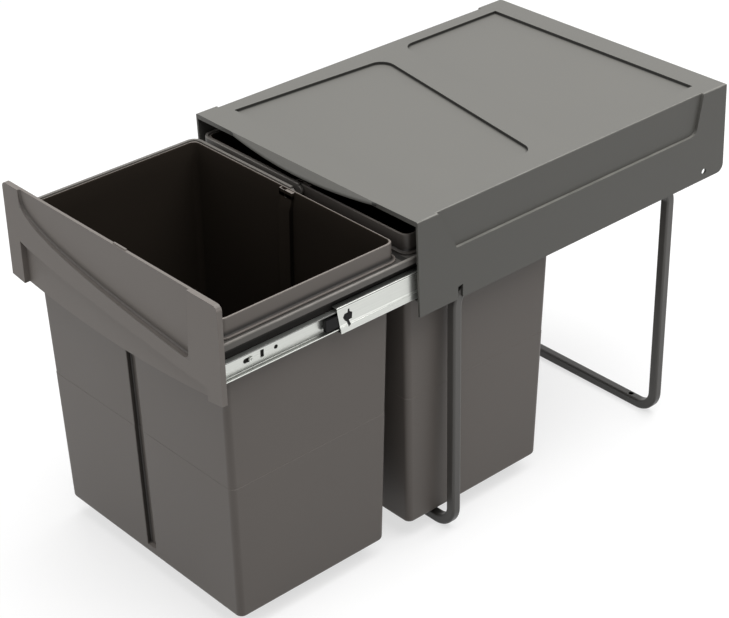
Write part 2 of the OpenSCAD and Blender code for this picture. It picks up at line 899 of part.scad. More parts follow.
// The space inside a bin, less the ribs behind the grooves
module bin_hollow() {
    difference() {
        bin_body(bin_wall, carriage_top);
        difference() {
            mid_plate(groove_w + 2 * bin_wall, bin_lift, groove_top + bin_wall);
            bin_body(bin_wall + groove_depth, carriage_top + over);
        }
    }
    difference() {
        hull() {
            bin_slice(bin_wall, carriage_top);
            translate([0, 0, rim_top])
                linear_extrude(over)
                    polygon(rounded_box(2 * (rim_half - bin_wall), rim_len - 2 * bin_wall, bin_corner));
        }
        for (side = [-1, 1])
            translate([-boss_w / 2, side * (rim_len / 2 - bin_wall), pivot_z - boss_below])
                slab(0, boss_w, -boss_in, boss_in, 0, boss_below + pivot_drop - boss_drop);
    }
}

groove_drop = 8;
groove_top = carriage_top - groove_drop;
groove_low = bin_lift + bin_floor_r + 1.5 * groove_depth;
bin_flange_t = 2;
module bin(y) {
    color(anthracite)
        drawn(1)
            translate([0, y, 0])
                difference() {
                    union() {
                        bin_body(0, carriage_top);
                        translate([0, 0, carriage_top])
                            linear_extrude(rim_h) polygon(rounded_box(2 * rim_half, rim_len, rim_corner));
                        translate([0, 0, carriage_top])
                            linear_extrude(bin_flange_t)
                                polygon(rounded_box(2 * (rim_half + bin_flange), rim_len + 2 * bin_flange,
                                                    rim_corner + bin_flange));
                    }
                    bin_hollow();
                    difference() {
                        mid_plate(groove_w, groove_low, groove_top);
                        bin_body(groove_depth, carriage_top);
                    }
                    for (side = [-1, 1])
                        translate([0, side * rim_len / 2, pivot_z])
                            rotate([90, 0, 0])
                                cylinder(d = pin_d + 2 * pin_play, h = 8 * bin_wall, center = true);
                }
}

module front_bin() {
    bin(bin_y);
}

module rear_bin() {
    bin(bin_y + bin_pitch);
}

// A bail that lies round the left half of a bin's rim
module handle(y) {
    r = rim_corner + handle_gap;
    w = 2 * handle_in;
    l = rim_len + 2 * handle_gap;
    pin_len = handle_gap + bin_wall + boss_in;
    color(deep_grey)
        drawn(1)
            translate([0, y, 0]) {
                translate([0, 0, handle_z])
                    linear_extrude(handle_h)
                        difference() {
                            polygon(rounded_box(w + 2 * handle_t, l + 2 * handle_t, r + handle_t));
                            polygon(rounded_box(w, l, r));
                            translate([0, -cover_len]) square([cover_w, 2 * cover_len]);
                        }
                for (side = [-1, 1])
                    translate([0, side * (rim_len / 2 + handle_gap), pivot_z])
                        rotate([-90 * side, 0, 0]) {
                            cylinder(d = eye_d, h = handle_t);
                            translate([0, 0, -pin_len]) cylinder(d = pin_d, h = pin_len + handle_t);
                        }
            }
}

module front_handle() {
    handle(bin_y);
}

module rear_handle() {
    handle(bin_y + bin_pitch);
}

top_cover();
front_leg();
rear_leg();
tube_plugs();
left_side_rail();
right_side_rail();
left_outer_slide();
right_outer_slide();
left_rear_buffer();
right_rear_buffer();
slide_rivets();
left_middle_slide();
right_middle_slide();
left_stop_clip();
right_stop_clip();
left_outer_cage();
right_outer_cage();
left_outer_balls();
right_outer_balls();
left_inner_cage();
right_inner_cage();
left_inner_balls();
right_inner_balls();
left_inner_slide();
right_inner_slide();
inner_slide_screws();
carriage_frame();
front_panel();
panel_screws();
front_bin();
rear_bin();
front_handle();
rear_handle();
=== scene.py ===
"""Studio scene of a pull out bin frame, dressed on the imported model."""

import json
import logging
import math
from collections.abc import Callable, Mapping, Sequence
from dataclasses import dataclass, field
from enum import Enum

import bmesh
import bpy
from mathutils import Matrix, Vector

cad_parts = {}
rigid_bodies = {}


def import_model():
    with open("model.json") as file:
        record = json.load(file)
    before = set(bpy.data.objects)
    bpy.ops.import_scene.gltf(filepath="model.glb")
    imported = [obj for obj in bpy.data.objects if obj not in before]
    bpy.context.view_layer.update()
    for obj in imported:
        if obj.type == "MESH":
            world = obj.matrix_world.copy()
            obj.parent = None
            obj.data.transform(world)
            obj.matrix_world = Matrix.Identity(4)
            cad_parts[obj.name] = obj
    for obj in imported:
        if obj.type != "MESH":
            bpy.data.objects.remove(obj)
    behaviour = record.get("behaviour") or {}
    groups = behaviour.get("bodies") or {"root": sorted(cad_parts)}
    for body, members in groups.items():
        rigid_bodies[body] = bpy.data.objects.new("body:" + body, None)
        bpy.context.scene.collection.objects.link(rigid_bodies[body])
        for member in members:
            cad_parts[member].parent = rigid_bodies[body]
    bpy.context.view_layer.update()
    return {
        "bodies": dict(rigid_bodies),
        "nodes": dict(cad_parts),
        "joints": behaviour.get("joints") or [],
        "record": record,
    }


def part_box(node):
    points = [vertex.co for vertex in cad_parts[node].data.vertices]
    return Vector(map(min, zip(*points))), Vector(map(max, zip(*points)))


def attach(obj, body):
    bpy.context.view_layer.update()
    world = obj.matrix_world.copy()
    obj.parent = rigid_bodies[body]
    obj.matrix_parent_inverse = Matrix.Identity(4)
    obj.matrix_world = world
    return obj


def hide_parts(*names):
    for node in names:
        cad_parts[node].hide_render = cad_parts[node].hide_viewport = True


LOG = logging.getLogger("bin_frame")
MM = 0.001
PER_METRE = 1000.0
EDGE_MASK = "edge_mask"
OUTWARD = "outward"
SIDES = ("left", "right")
RUNS = ("outer", "inner")
WHITE = (1.0, 1.0, 1.0, 1.0)
FLOAT = "NodeSocketFloat"

BMesh, BMFace, BMEdge = bmesh.types.BMesh, bmesh.types.BMFace, bmesh.types.BMEdge
Layer = bmesh.types.BMLayerItem
Node, Socket = bpy.types.Node, bpy.types.NodeSocket
Sockets = Mapping[str, Socket]
FacePick = Callable[[BMFace], bool]
EdgePick = Callable[[BMEdge], bool]
Pair = tuple[Vector, Vector]


class Slot(Enum):
    """Material slots of the record."""

    COVER = "cover_plastic"
    PANEL = "panel_plastic"
    BIN = "bin_plastic"
    FRAME = "frame_plastic"
    COATED = "coated_steel"
    ZINC = "zinc_steel"
    BEARING = "bearing_steel"
    BLACK = "black_plastic"
    RUBBER = "buffer_rubber"


class Recess(Enum):
    """Shape of the mark in a fastener's head."""

    CROSS = "cross"
    ROUND = "round"


@dataclass(frozen=True)
class Wave:
    """The curve across the front panel and the shade that lies in its foot.

    Sizes are in millimetres in the shared frame, with the drawer as modelled.
    """

    left: float = -126.0
    right: float = 97.0
    end: float = 112.0
    level: float = 347.0
    drop: float = 60.5
    bend: float = 0.38
    front: float = -399.6
    width: float = 9.0
    shade: float = 0.37
    ledge: float = 0.7

    def height(self, x: float) -> float:
        """Give the curve's height at a place across the panel."""
        share = clamp((x - self.left) / (self.right - self.left))
        return self.level - self.drop * share ** self.bend


@dataclass(frozen=True)
class Finish:
    """One surface finish, from which its material is made.

    Colours are sRGB values from 0 to 255, sizes are in millimetres.
    """

    name: str
    colour: tuple[float, float, float]
    roughness: float
    metallic: float = 0.0
    grain: float = 0.5
    grain_depth: float = 0.02
    drift: float = 0.05
    drift_size: float = 90.0
    # edge sets the strength of the painted highlight on marked faces, and the field after it sets the strength
    # of the painted shade on them.
    edge: float = 0.06
    painted_shade: float = 0.35
    gloss_drift: float = 0.06
    rolled: float = 0.0
    specular: float = 0.3
    coat: float = 0.0
    wave: Wave | None = None


PANEL_WAVE = Wave()
COVER_PLASTIC = Finish("cover_plastic_grained", (94, 93, 89), 0.46, grain=0.45, edge=0.75, painted_shade=0.75)
PANEL_PLASTIC = Finish("panel_plastic_grained", (123, 117, 112), 0.5, grain=0.45, edge=0.08, painted_shade=0.2,
                       wave=PANEL_WAVE)
BIN_PLASTIC = Finish("bin_plastic_moulded", (108, 102, 97), 0.42, grain=0.8, grain_depth=0.015, drift=0.06,
                     edge=0.12, painted_shade=0.8)
# A darker copy of the bin plastic, painted shade for the bins' inside.
BIN_INSIDE_SHADE = Finish("bin_plastic_inside", (41, 36, 31), 0.8, grain=0.8, grain_depth=0.015, drift=0.08,
                    painted_shade=0.8, specular=0.03)
FRAME_PLASTIC = Finish("frame_plastic_satin", (97, 94, 90), 0.44, grain=0.6, edge=0.7, painted_shade=0.8)
FRAME_MATT = Finish("frame_plastic_matt", (97, 94, 90), 0.7, grain=0.6, edge=0.7, painted_shade=0.8, specular=0.17)
COATED_STEEL = Finish("coated_steel_anthracite", (93, 91, 88), 0.4, grain=1.1, grain_depth=0.03, edge=0.1,
                      coat=0.15)
ZINC_STEEL = Finish("zinc_steel_rolled", (208, 210, 205), 0.32, metallic=0.8, grain_depth=0.004,
                    drift_size=25.0, edge=0.4, painted_shade=0.75, rolled=0.2)
BEARING_STEEL = Finish("bearing_steel_polished", (205, 206, 204), 0.14, metallic=1.0, grain=0.6,
                       grain_depth=0.001, drift=0.03, drift_size=6.0, edge=0.0, rolled=0.02)
BLACK_PLASTIC = Finish("black_plastic_moulded", (17, 17, 18), 0.5, grain=0.4, grain_depth=0.01, edge=0.3,
                       specular=0.15)
BUFFER_RUBBER = Finish("buffer_rubber_matt", (27, 27, 27), 0.72, grain_depth=0.03, edge=0.2)

SLOT_FINISH: dict[Slot, Finish] = {
    Slot.COVER: COVER_PLASTIC,
    Slot.PANEL: PANEL_PLASTIC,
    Slot.BIN: BIN_PLASTIC,
    Slot.FRAME: FRAME_PLASTIC,
    Slot.COATED: COATED_STEEL,
    Slot.ZINC: ZINC_STEEL,
    Slot.BEARING: BEARING_STEEL,
    Slot.BLACK: BLACK_PLASTIC,
    Slot.RUBBER: BUFFER_RUBBER,
}


@dataclass(frozen=True)
class Part:
    """A piece's name, the solid it stands for, the body it rides on and the record's slot for its finish."""

    name: str
    node: str
    body: str
    slot: Slot


def clamp(value: float) -> float:
    """Keep a share between 0 and 1."""
    return min(max(value, 0.0), 1.0)


def linear(colour: tuple[float, float, float]) -> tuple[float, float, float]:
    """Turn an sRGB colour into the linear colour a shader takes.

    Args:
        colour: Red, green and blue from 0 to 255.

    Returns:
        Linear red, green and blue.
    """
    def channel(value: float) -> float:
        """One channel, from sRGB to linear."""
        share = value / 255.0
        return share / 12.92 if share <= 0.04045 else ((share + 0.055) / 1.055) ** 2.4

    return (channel(colour[0]), channel(colour[1]), channel(colour[2]))


def add_object(name: str, data: bpy.types.ID) -> bpy.types.Object:
    """Put data into the scene as an object.

    Args:
        name: The object's name.
        data: Its mesh, lamp or camera.

    Returns:
        The new object.
    """
    obj = bpy.data.objects.new(name, data)
    bpy.context.scene.collection.objects.link(obj)
    return obj


@dataclass(frozen=True)
class Desk:
    """Lays out the nodes of one tree."""

    tree: bpy.types.NodeTree

    @classmethod
    def group(cls, name: str, kind: str, inputs: Mapping[str, float | str],
              outputs: Mapping[str, str]) -> "tuple[Desk, Sockets]":
        """Start a node group.

        Args:
            name: The group's name.
            kind: The tree's type.
            inputs: For each input the default of a number, or else the type of its socket.
            outputs: The type of each output.

        Returns:
            The group's desk and the sockets of its inputs.
        """
        tree = bpy.data.node_groups.new(name, kind)
        for label, given in inputs.items():
            number = isinstance(given, float)
            socket = tree.interface.new_socket(label, in_out="INPUT", socket_type=FLOAT if number else given)
            if number:
                socket.default_value = given
        for label, socket_type in outputs.items():
            tree.interface.new_socket(label, in_out="OUTPUT", socket_type=socket_type)
        desk = cls(tree)
        return desk, desk.put("NodeGroupInput").outputs

    def put(self, kind: str, inputs: Mapping[str | int, object] | None = None, **settings: object) -> Node:
        """Place one node.

        Args:
            kind: The node's type.
            inputs: Sockets or plain values for its inputs, by name or number.
            settings: Values of the node's own settings.

        Returns:
            The node.
        """
        node = self.tree.nodes.new(kind)
        for label, value in settings.items():
            setattr(node, label, value)
        self.feed(node, inputs or {})
        return node

    def feed(self, node: Node, inputs: Mapping[str | int, object]) -> None:
        """Set a node's inputs.

        Args:
            node: The node.
            inputs: Sockets or plain values for its inputs, by name or number.
        """
        for label, value in inputs.items():
            if isinstance(value, Socket):
                self.tree.links.new(value, node.inputs[label])
            else:
                node.inputs[label].default_value = value

    def calc(self, operation: str, *values: object) -> Socket:
        """Place one math node on sockets or plain numbers and give its result."""
        return self.put("ShaderNodeMath", dict(enumerate(values)), operation=operation).outputs[0]

    def vector(self, **values: object) -> Socket:
        """Join sockets or plain numbers for X, Y and Z to a vector; what is left out is 0."""
        return self.put("ShaderNodeCombineXYZ", values).outputs["Vector"]

    def shader(self) -> Node:
        """Give the material's own Principled shader."""
        return next(node for node in self.tree.nodes if node.type == "BSDF_PRINCIPLED")


@dataclass
class GroupShop:
    """Builds the shader node groups that the materials share."""

    groups: dict[str, bpy.types.NodeTree] = field(default_factory=dict)

    def start(self, name: str, inputs: Mapping[str, float], *outputs: str) -> tuple[Desk, Sockets]:
        """Start a group that takes a place and named values.

        Args:
            name: The group's name.
            inputs: Name and default of each value.
            outputs: Name of each output value.

        Returns:
            The group's desk and the sockets of its inputs.
        """
        desk, given = Desk.group(name, "ShaderNodeTree", {"Vector": "NodeSocketVector", **inputs},
                                 dict.fromkeys(outputs, FLOAT))
        self.groups[name] = desk.tree
        return desk, given

    def build(self) -> None:
        """Build every group once."""
        for make in (self.tone_drift, self.mould_grain, self.edge_light, self.rolled_lines, self.wave_shade):
            make()

    def wave_shade(self) -> None:
        """Shade in the foot of the panel's wave: full along the curve, none at its width above it."""
        names = ("Left", "Right", "End", "Level", "Drop", "Bend", "Front", "Width", "Ledge")
        desk, given = self.start("wave_shade", dict.fromkeys(names, 0.1), "Mask")
        left, right, end, level, drop, bend, front, width, ledge = (given[name] for name in names)
        parts = desk.put("ShaderNodeSeparateXYZ", {"Vector": given["Vector"]})
        x, y, z = (parts.outputs[name] for name in "XYZ")
        calc = desk.calc
        span = calc("SUBTRACT", right, left)
        share = calc("MINIMUM", calc("MAXIMUM", calc("DIVIDE", calc("SUBTRACT", x, left), span), 0.01), 1.0)
        curve = calc("SUBTRACT", level, calc("MULTIPLY", drop, calc("POWER", share, bend)))
        above = calc("SUBTRACT", z, curve)
        slope = calc("MULTIPLY", calc("DIVIDE", calc("MULTIPLY", drop, bend), span),
                     calc("POWER", share, calc("SUBTRACT", bend, 1.0)))
        away = calc("DIVIDE", above, calc("SQRT", calc("ADD", calc("MULTIPLY", slope, slope), 1.0)))
        shade = calc("MAXIMUM", calc("SUBTRACT", 1.0, calc("DIVIDE", away, width)), 0.0)
        near = calc("GREATER_THAN", away, -0.8 * MM)
        begun = calc("GREATER_THAN", x, left)
        rest = calc("MINIMUM", calc("MAXIMUM", calc("DIVIDE", calc("SUBTRACT", end, x), width), 0.0), 1.0)
        ahead = calc("LESS_THAN", y, front)
        inside = calc("MULTIPLY", calc("MULTIPLY", near, begun), calc("MULTIPLY", rest, ahead))
        level_share = calc("MAXIMUM", calc("GREATER_THAN", away, 0.6 * MM), ledge)
        soft = calc("MULTIPLY", calc("POWER", shade, 1.4), level_share)
        desk.put("NodeGroupOutput", {"Mask": calc("MULTIPLY", soft, inside)})

    def tone_drift(self) -> None:
        """Slow change of tone over a surface, as a factor about 1."""
        desk, given = self.start("tone_drift", {"Scale": 10.0, "Amount": 0.05}, "Factor", "Noise")
        noise = desk.put("ShaderNodeTexNoise", {"Vector": given["Vector"], "Scale": given["Scale"],
                                                "Detail": 4.0, "Roughness": 0.55}).outputs["Fac"]
        factor = desk.calc("MULTIPLY_ADD", desk.calc("SUBTRACT", noise, 0.5),
                           desk.calc("MULTIPLY", given["Amount"], 2.0), 1.0)
        desk.put("NodeGroupOutput", {"Factor": factor, "Noise": noise})

    def mould_grain(self) -> None:
        """Fine eroded grain of a moulding tool, as a height."""
        desk, given = self.start("mould_grain", {"Scale": 2000.0}, "Height")
        place = {"Vector": given["Vector"], "Scale": given["Scale"]}
        noise = desk.put("ShaderNodeTexNoise", {**place, "Detail": 3.0})
        cells = desk.put("ShaderNodeTexVoronoi", {**place, "Smoothness": 0.6}, feature="SMOOTH_F1")
        height = desk.calc("ADD", noise.outputs["Fac"], cells.outputs["Distance"])
        desk.put("NodeGroupOutput", {"Height": height})

    def edge_light(self) -> None:
        """Light on the broken outer edges, uneven along their length, less the shade in the inner ones."""
        desk, given = self.start("edge_light", {"Amount": 0.1, "Crease": 0.3}, "Mask")
        marks = desk.put("ShaderNodeAttribute", attribute_name=EDGE_MASK)
        parts = desk.put("ShaderNodeSeparateColor", {"Color": marks.outputs["Color"]}).outputs
        noise = desk.put("ShaderNodeTexNoise", {"Vector": given["Vector"], "Scale": 45.0, "Detail": 5.0})
        uneven = desk.put("ShaderNodeMapRange", {"Value": noise.outputs["Fac"], "From Min": 0.3,
                                                 "From Max": 0.65, "To Min": 0.45}).outputs["Result"]
        light = desk.calc("MULTIPLY", desk.calc("MULTIPLY", parts["Red"], uneven), given["Amount"])
        shade = desk.calc("MULTIPLY", parts["Green"], given["Crease"])
        desk.put("NodeGroupOutput", {"Mask": desk.calc("SUBTRACT", light, shade)})

    def rolled_lines(self) -> None:
        """Long fine lines that rolling leaves along a strip, as a value about 0."""
        desk, given = self.start("rolled_lines", {"Amount": 0.1}, "Value")
        along = desk.put("ShaderNodeMapping", {"Vector": given["Vector"], "Scale": (1.0, 0.02, 1.0)})
        noise = desk.put("ShaderNodeTexNoise", {"Vector": along.outputs["Vector"], "Scale": 900.0,
                                                "Detail": 4.0})
        centred = desk.calc("SUBTRACT", noise.outputs["Fac"], 0.5)
        desk.put("NodeGroupOutput", {"Value": desk.calc("MULTIPLY", centred, given["Amount"])})


@dataclass
class FinishShelf:
    """Makes the materials, one for each finish."""

    shop: GroupShop
    coat_roughness: float = 0.25
    grain_strength: float = 0.6
    darkest: float = 0.05
    smoothest: float = 0.02
    made: dict[str, bpy.types.Material] = field(default_factory=dict)

    def get(self, finish: Finish) -> bpy.types.Material:
        """Give a finish's material, made at its first use.

        Args:
            finish: The finish.

        Returns:
            The finish's material.
        """
        if finish.name not in self.made:
            self.made[finish.name] = self.make(finish)
        return self.made[finish.name]

    def make(self, finish: Finish) -> bpy.types.Material:
        """Build one material from a finish.

        Args:
            finish: The finish.

        Returns:
            The new material.
        """
        material = bpy.data.materials.new(finish.name)
        material.use_nodes = True
        desk = Desk(material.node_tree)
        place = desk.put("ShaderNodeTexCoord").outputs["Object"]

        def group(name: str, **values: float) -> Sockets:
            """Place a shared group with its own values and give its outputs."""
            inputs = {"Vector": place, **values}
            return desk.put("ShaderNodeGroup", inputs, node_tree=self.shop.groups[name]).outputs

        drift = group("tone_drift", Scale=PER_METRE / finish.drift_size, Amount=finish.drift)
        grain = group("mould_grain", Scale=PER_METRE / finish.grain)
        # Painted highlight on marked edges, less painted shade on marked faces.
        edges = group("edge_light", Amount=finish.edge, Crease=finish.painted_shade)
        tone = desk.calc("ADD", drift["Factor"], edges["Mask"])
        if finish.wave:
            wave = finish.wave
            foot = group("wave_shade", Left=wave.left * MM, Right=wave.right * MM, End=wave.end * MM,
                         Level=wave.level * MM, Drop=wave.drop * MM, Bend=wave.bend, Front=wave.front * MM,
                         Width=wave.width * MM, Ledge=wave.ledge)
            tone = desk.calc("SUBTRACT", tone, desk.calc("MULTIPLY", foot["Mask"], wave.shade))
        rough = desk.put("ShaderNodeMapRange", {
            "Value": drift["Noise"], "To Min": max(self.smoothest, finish.roughness - finish.gloss_drift),
            "To Max": finish.roughness + finish.gloss_drift}).outputs["Result"]
        if finish.rolled > 0.0:
            lines = group("rolled_lines", Amount=finish.rolled)["Value"]
            tone = desk.calc("ADD", tone, lines)
            rough = desk.calc("ADD", rough, lines)
        colour = desk.put("ShaderNodeVectorMath", {
            0: linear(finish.colour), "Scale": desk.calc("MAXIMUM", tone, self.darkest)}, operation="SCALE")
        bump = desk.put("ShaderNodeBump", {
            "Strength": self.grain_strength, "Distance": finish.grain_depth * MM, "Height": grain["Height"]})
        desk.feed(desk.shader(), {
            "Metallic": finish.metallic, "Specular IOR Level": finish.specular, "Coat Weight": finish.coat,
            "Coat Roughness": self.coat_roughness, "Base Color": colour.outputs["Vector"], "Roughness": rough,
            "Normal": bump.outputs["Normal"]})
        return material


@dataclass
class Bench:
    """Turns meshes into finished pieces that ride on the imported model's bodies."""

    frame: dict
    shelf: FinishShelf
    merge_reach: float = 0.002
    flat_turn: float = 0.4
    face_weight: int = 60
    bend_length: float = 60.0
    bend_width: float = 1.6
    fine_edge: float = 0.2
    count: int = 0

    def copy_of(self, node: str) -> BMesh:
        """Copy a solid's mesh with its loose triangles merged into flat faces.

        Args:
            node: Name of the solid.

        Returns:
            The merged copy.
        """
        bm = bmesh.new()
        bm.from_mesh(self.frame["nodes"][node].data)
        bmesh.ops.remove_doubles(bm, verts=bm.verts, dist=self.merge_reach * MM)
        bmesh.ops.dissolve_limit(bm, angle_limit=math.radians(self.flat_turn), verts=bm.verts, edges=bm.edges)
        return bm

    def edge_layer(self, bm: BMesh) -> Layer:
        """Give a mesh's layer of edge marks, made with no marks at its first use.

        Args:
            bm: The mesh.

        Returns:
            The layer: the light in red, the shade in green, and whether a face is marked in alpha.
        """
        layer = bm.loops.layers.float_color.get(EDGE_MASK)
        if layer is None:
            layer = bm.loops.layers.float_color.new(EDGE_MASK)
            for face in bm.faces:
                for loop in face.loops:
                    loop[layer] = (0.0, 0.0, 0.0, 0.0)
        return layer

    def unmarked(self, bm: BMesh) -> EdgePick:
        """Give a test for the edges that lie on no marked face."""
        layer = self.edge_layer(bm)
        return lambda e: all(loop[layer][3] < 0.5 for face in e.link_faces for loop in face.loops)

    def break_edges(self, bm: BMesh, width: float, segments: int = 2, turn: float = 28.0,
                    pick: EdgePick | None = None, clamped: bool = True) -> None:
        """Round a mesh's edges and mark the rounded faces with painted highlight where the edge stands out and
        painted shade where it is hollow.

        Args:
            bm: The mesh to change.
            width: Width of the rounding in millimetres.
            segments: Faces across the rounding.
            turn: Least angle between two faces, in degrees, at which their edge is rounded.
            pick: Chooses among the edges; all by default.
            clamped: Whether the width gives way where faces are small.
        """
        layer = self.edge_layer(bm)
        least = math.radians(turn)
        edges = [e for e in bm.edges
                 if len(e.link_faces) == 2 and e.calc_face_angle(0.0) > least and (pick is None or pick(e))]
        made = bmesh.ops.bevel(bm, geom=edges, offset=width * MM, offset_type="OFFSET", segments=segments,
                               profile=0.5, affect="EDGES", clamp_overlap=clamped, loop_slide=True)
        bm.normal_update()
        for face in made["faces"]:
            longest = max(e.calc_length() for e in face.edges)
            if face.calc_area() > 1.6 * width * MM * longest:
                continue
            bend = sum(e.calc_face_angle_signed(0.0) * e.calc_length() for e in face.edges
                       if len(e.link_faces) == 2)
            for loop in face.loops:
                loop[layer] = (1.0, 0.0, 0.0, 1.0) if bend >= 0.0 else (0.0, 1.0, 0.0, 1.0)

    def paint_light_shade(self, bm: BMesh, pick: FacePick, light: float = 0.0,
             shade: float | Callable[[Vector], float] = 0.0) -> None:
        """Paint light and shade on chosen faces through their edge marks.

        Args:
            bm: The mesh.
            pick: Chooses the faces.
            light: Share of the painted highlight.
            shade: Share of the painted shade, or what gives it from a place.
        """
        layer = self.edge_layer(bm)
        for face in bm.faces:
            if pick(face):
                for loop in face.loops:
                    share = shade(loop.vert.co) if callable(shade) else shade
                    loop[layer] = (light, share, 0.0, 1.0)

    def split(self, bm: BMesh, axis: int, levels: Sequence[float]) -> None:
        """Cut a mesh's faces along planes without a change of its shape.

        Args:
            bm: The mesh.
            axis: The axis that the planes lie across.
            levels: The planes' places in metres.
        """
        normal = Vector((0.0, 0.0, 0.0))
        normal[axis] = 1.0
        for level in levels:
            bmesh.ops.bisect_plane(bm, geom=[*bm.verts, *bm.edges, *bm.faces], dist=1e-7,
                                   plane_co=normal * level, plane_no=normal)

    def plain(self, holder: bpy.types.Object, name: str) -> bpy.types.Mesh:
        """Keep what an object's modifiers make as a plain mesh, and remove the object.

        Args:
            holder: The object with its modifiers.
            name: Name of the new mesh.

        Returns:
            The new mesh.
        """
        bpy.context.view_layer.update()
        graph = bpy.context.evaluated_depsgraph_get()
        mesh = bpy.data.meshes.new_from_object(holder.evaluated_get(graph), preserve_all_data_layers=True,
                                               depsgraph=graph)
        mesh.name = name
        raw = holder.data
        bpy.data.objects.remove(holder)
        bpy.data.meshes.remove(raw)
        return mesh

    def piece(self, part: Part, mesh: bpy.types.Mesh, finishes: Sequence[Finish] = ()) -> None:
        """Place a finished mesh on a body in the stead of a solid.

        Args:
            part: What the piece is.
            mesh: Its mesh, in the shared frame.
            finishes: Its finishes in the order of its faces' indices; the slot's own by default.
        """
        obj = add_object(part.name, mesh)
        order = [polygon.material_index for polygon in mesh.polygons]
        mesh.materials.clear()
        for finish in finishes or (SLOT_FINISH[part.slot],):
            mesh.materials.append(self.shelf.get(finish))
        if finishes:
            mesh.polygons.foreach_set("material_index", order)
        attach(obj, part.body)
        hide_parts(part.node)
        self.count += 1
        LOG.info("%s: %d faces on %s", part.name, len(mesh.polygons), part.body)

    def finish(self, part: Part, bm: BMesh, finishes: Sequence[Finish] = (), sharp: float = 50.0) -> None:
        """Make a mesh a piece with smooth faces whose flat parts stay flat.

        Args:
            part: What the piece is.
            bm: The mesh, which is freed.
            finishes: Its finishes in the order of its faces' indices; the slot's own by default.
            sharp: Angle in degrees above which an edge stays sharp.
        """
        raw = bpy.data.meshes.new(part.name + "_raw")
        for face in bm.faces:
            face.smooth = True
        bm.to_mesh(raw)
        bm.free()
        raw.set_sharp_from_angle(angle=math.radians(sharp))
        holder = add_object(part.name + "_holder", raw)
        flat = holder.modifiers.new("flat_parts", "WEIGHTED_NORMAL")
        flat.keep_sharp = True
        flat.weight = self.face_weight
        self.piece(part, self.plain(holder, part.name), finishes)

    def softened(self, part: Part, width: float, segments: int = 2) -> None:
        """Make a piece from a solid's own shape with its edges rounded.

        Args:
            part: What the piece is.
            width: Width of the rounding in millimetres.
            segments: Faces across the rounding.
        """
        bm = self.copy_of(part.node)
        self.break_edges(bm, width, segments)
        self.finish(part, bm)

    def rolled(self, part: Part, bend: float, dress: Callable[[BMesh, str], None]) -> None:
        """Make a slide member from its solid: rolled bends along it, and fine edges.

        Args:
            part: What the piece is.
            bend: Width of the bends' rounding in millimetres.
            dress: Paints the member's light and shade, from its mesh and its solid's name.
        """
        bm = self.copy_of(part.node)

        def is_bend(edge: BMEdge) -> bool:
            """Whether a long edge lies between two wide faces."""
            length = edge.calc_length()
            return length > self.bend_length * MM and all(
                face.calc_area() / length > self.bend_width * MM for face in edge.link_faces)

        self.break_edges(bm, bend, 4, turn=60.0, pick=is_bend)
        self.break_edges(bm, self.fine_edge, 1, turn=40.0)
        dress(bm, part.node)
        self.finish(part, bm)

    def islands(self, node: str) -> list[Pair]:
        """Find the separate solids in a node.

        Args:
            node: Name of the node.

        Returns:
            The lowest and highest corner of each solid.
        """
        bm = self.copy_of(node)
        left = set(bm.verts)
        boxes: list[Pair] = []
        while left:
            stack = [left.pop()]
            points: list[Vector] = []
            while stack:
                vert = stack.pop()
                points.append(vert.co.copy())
                others = {edge.other_vert(vert) for edge in vert.link_edges} & left
                left -= others
                stack.extend(others)
            low, high = (Vector([end(p[i] for p in points) for i in range(3)]) for end in (min, max))
            boxes.append((low, high))
        bm.free()
        return sorted(boxes, key=lambda pair: tuple(round(v, 6) for v in pair[0]))


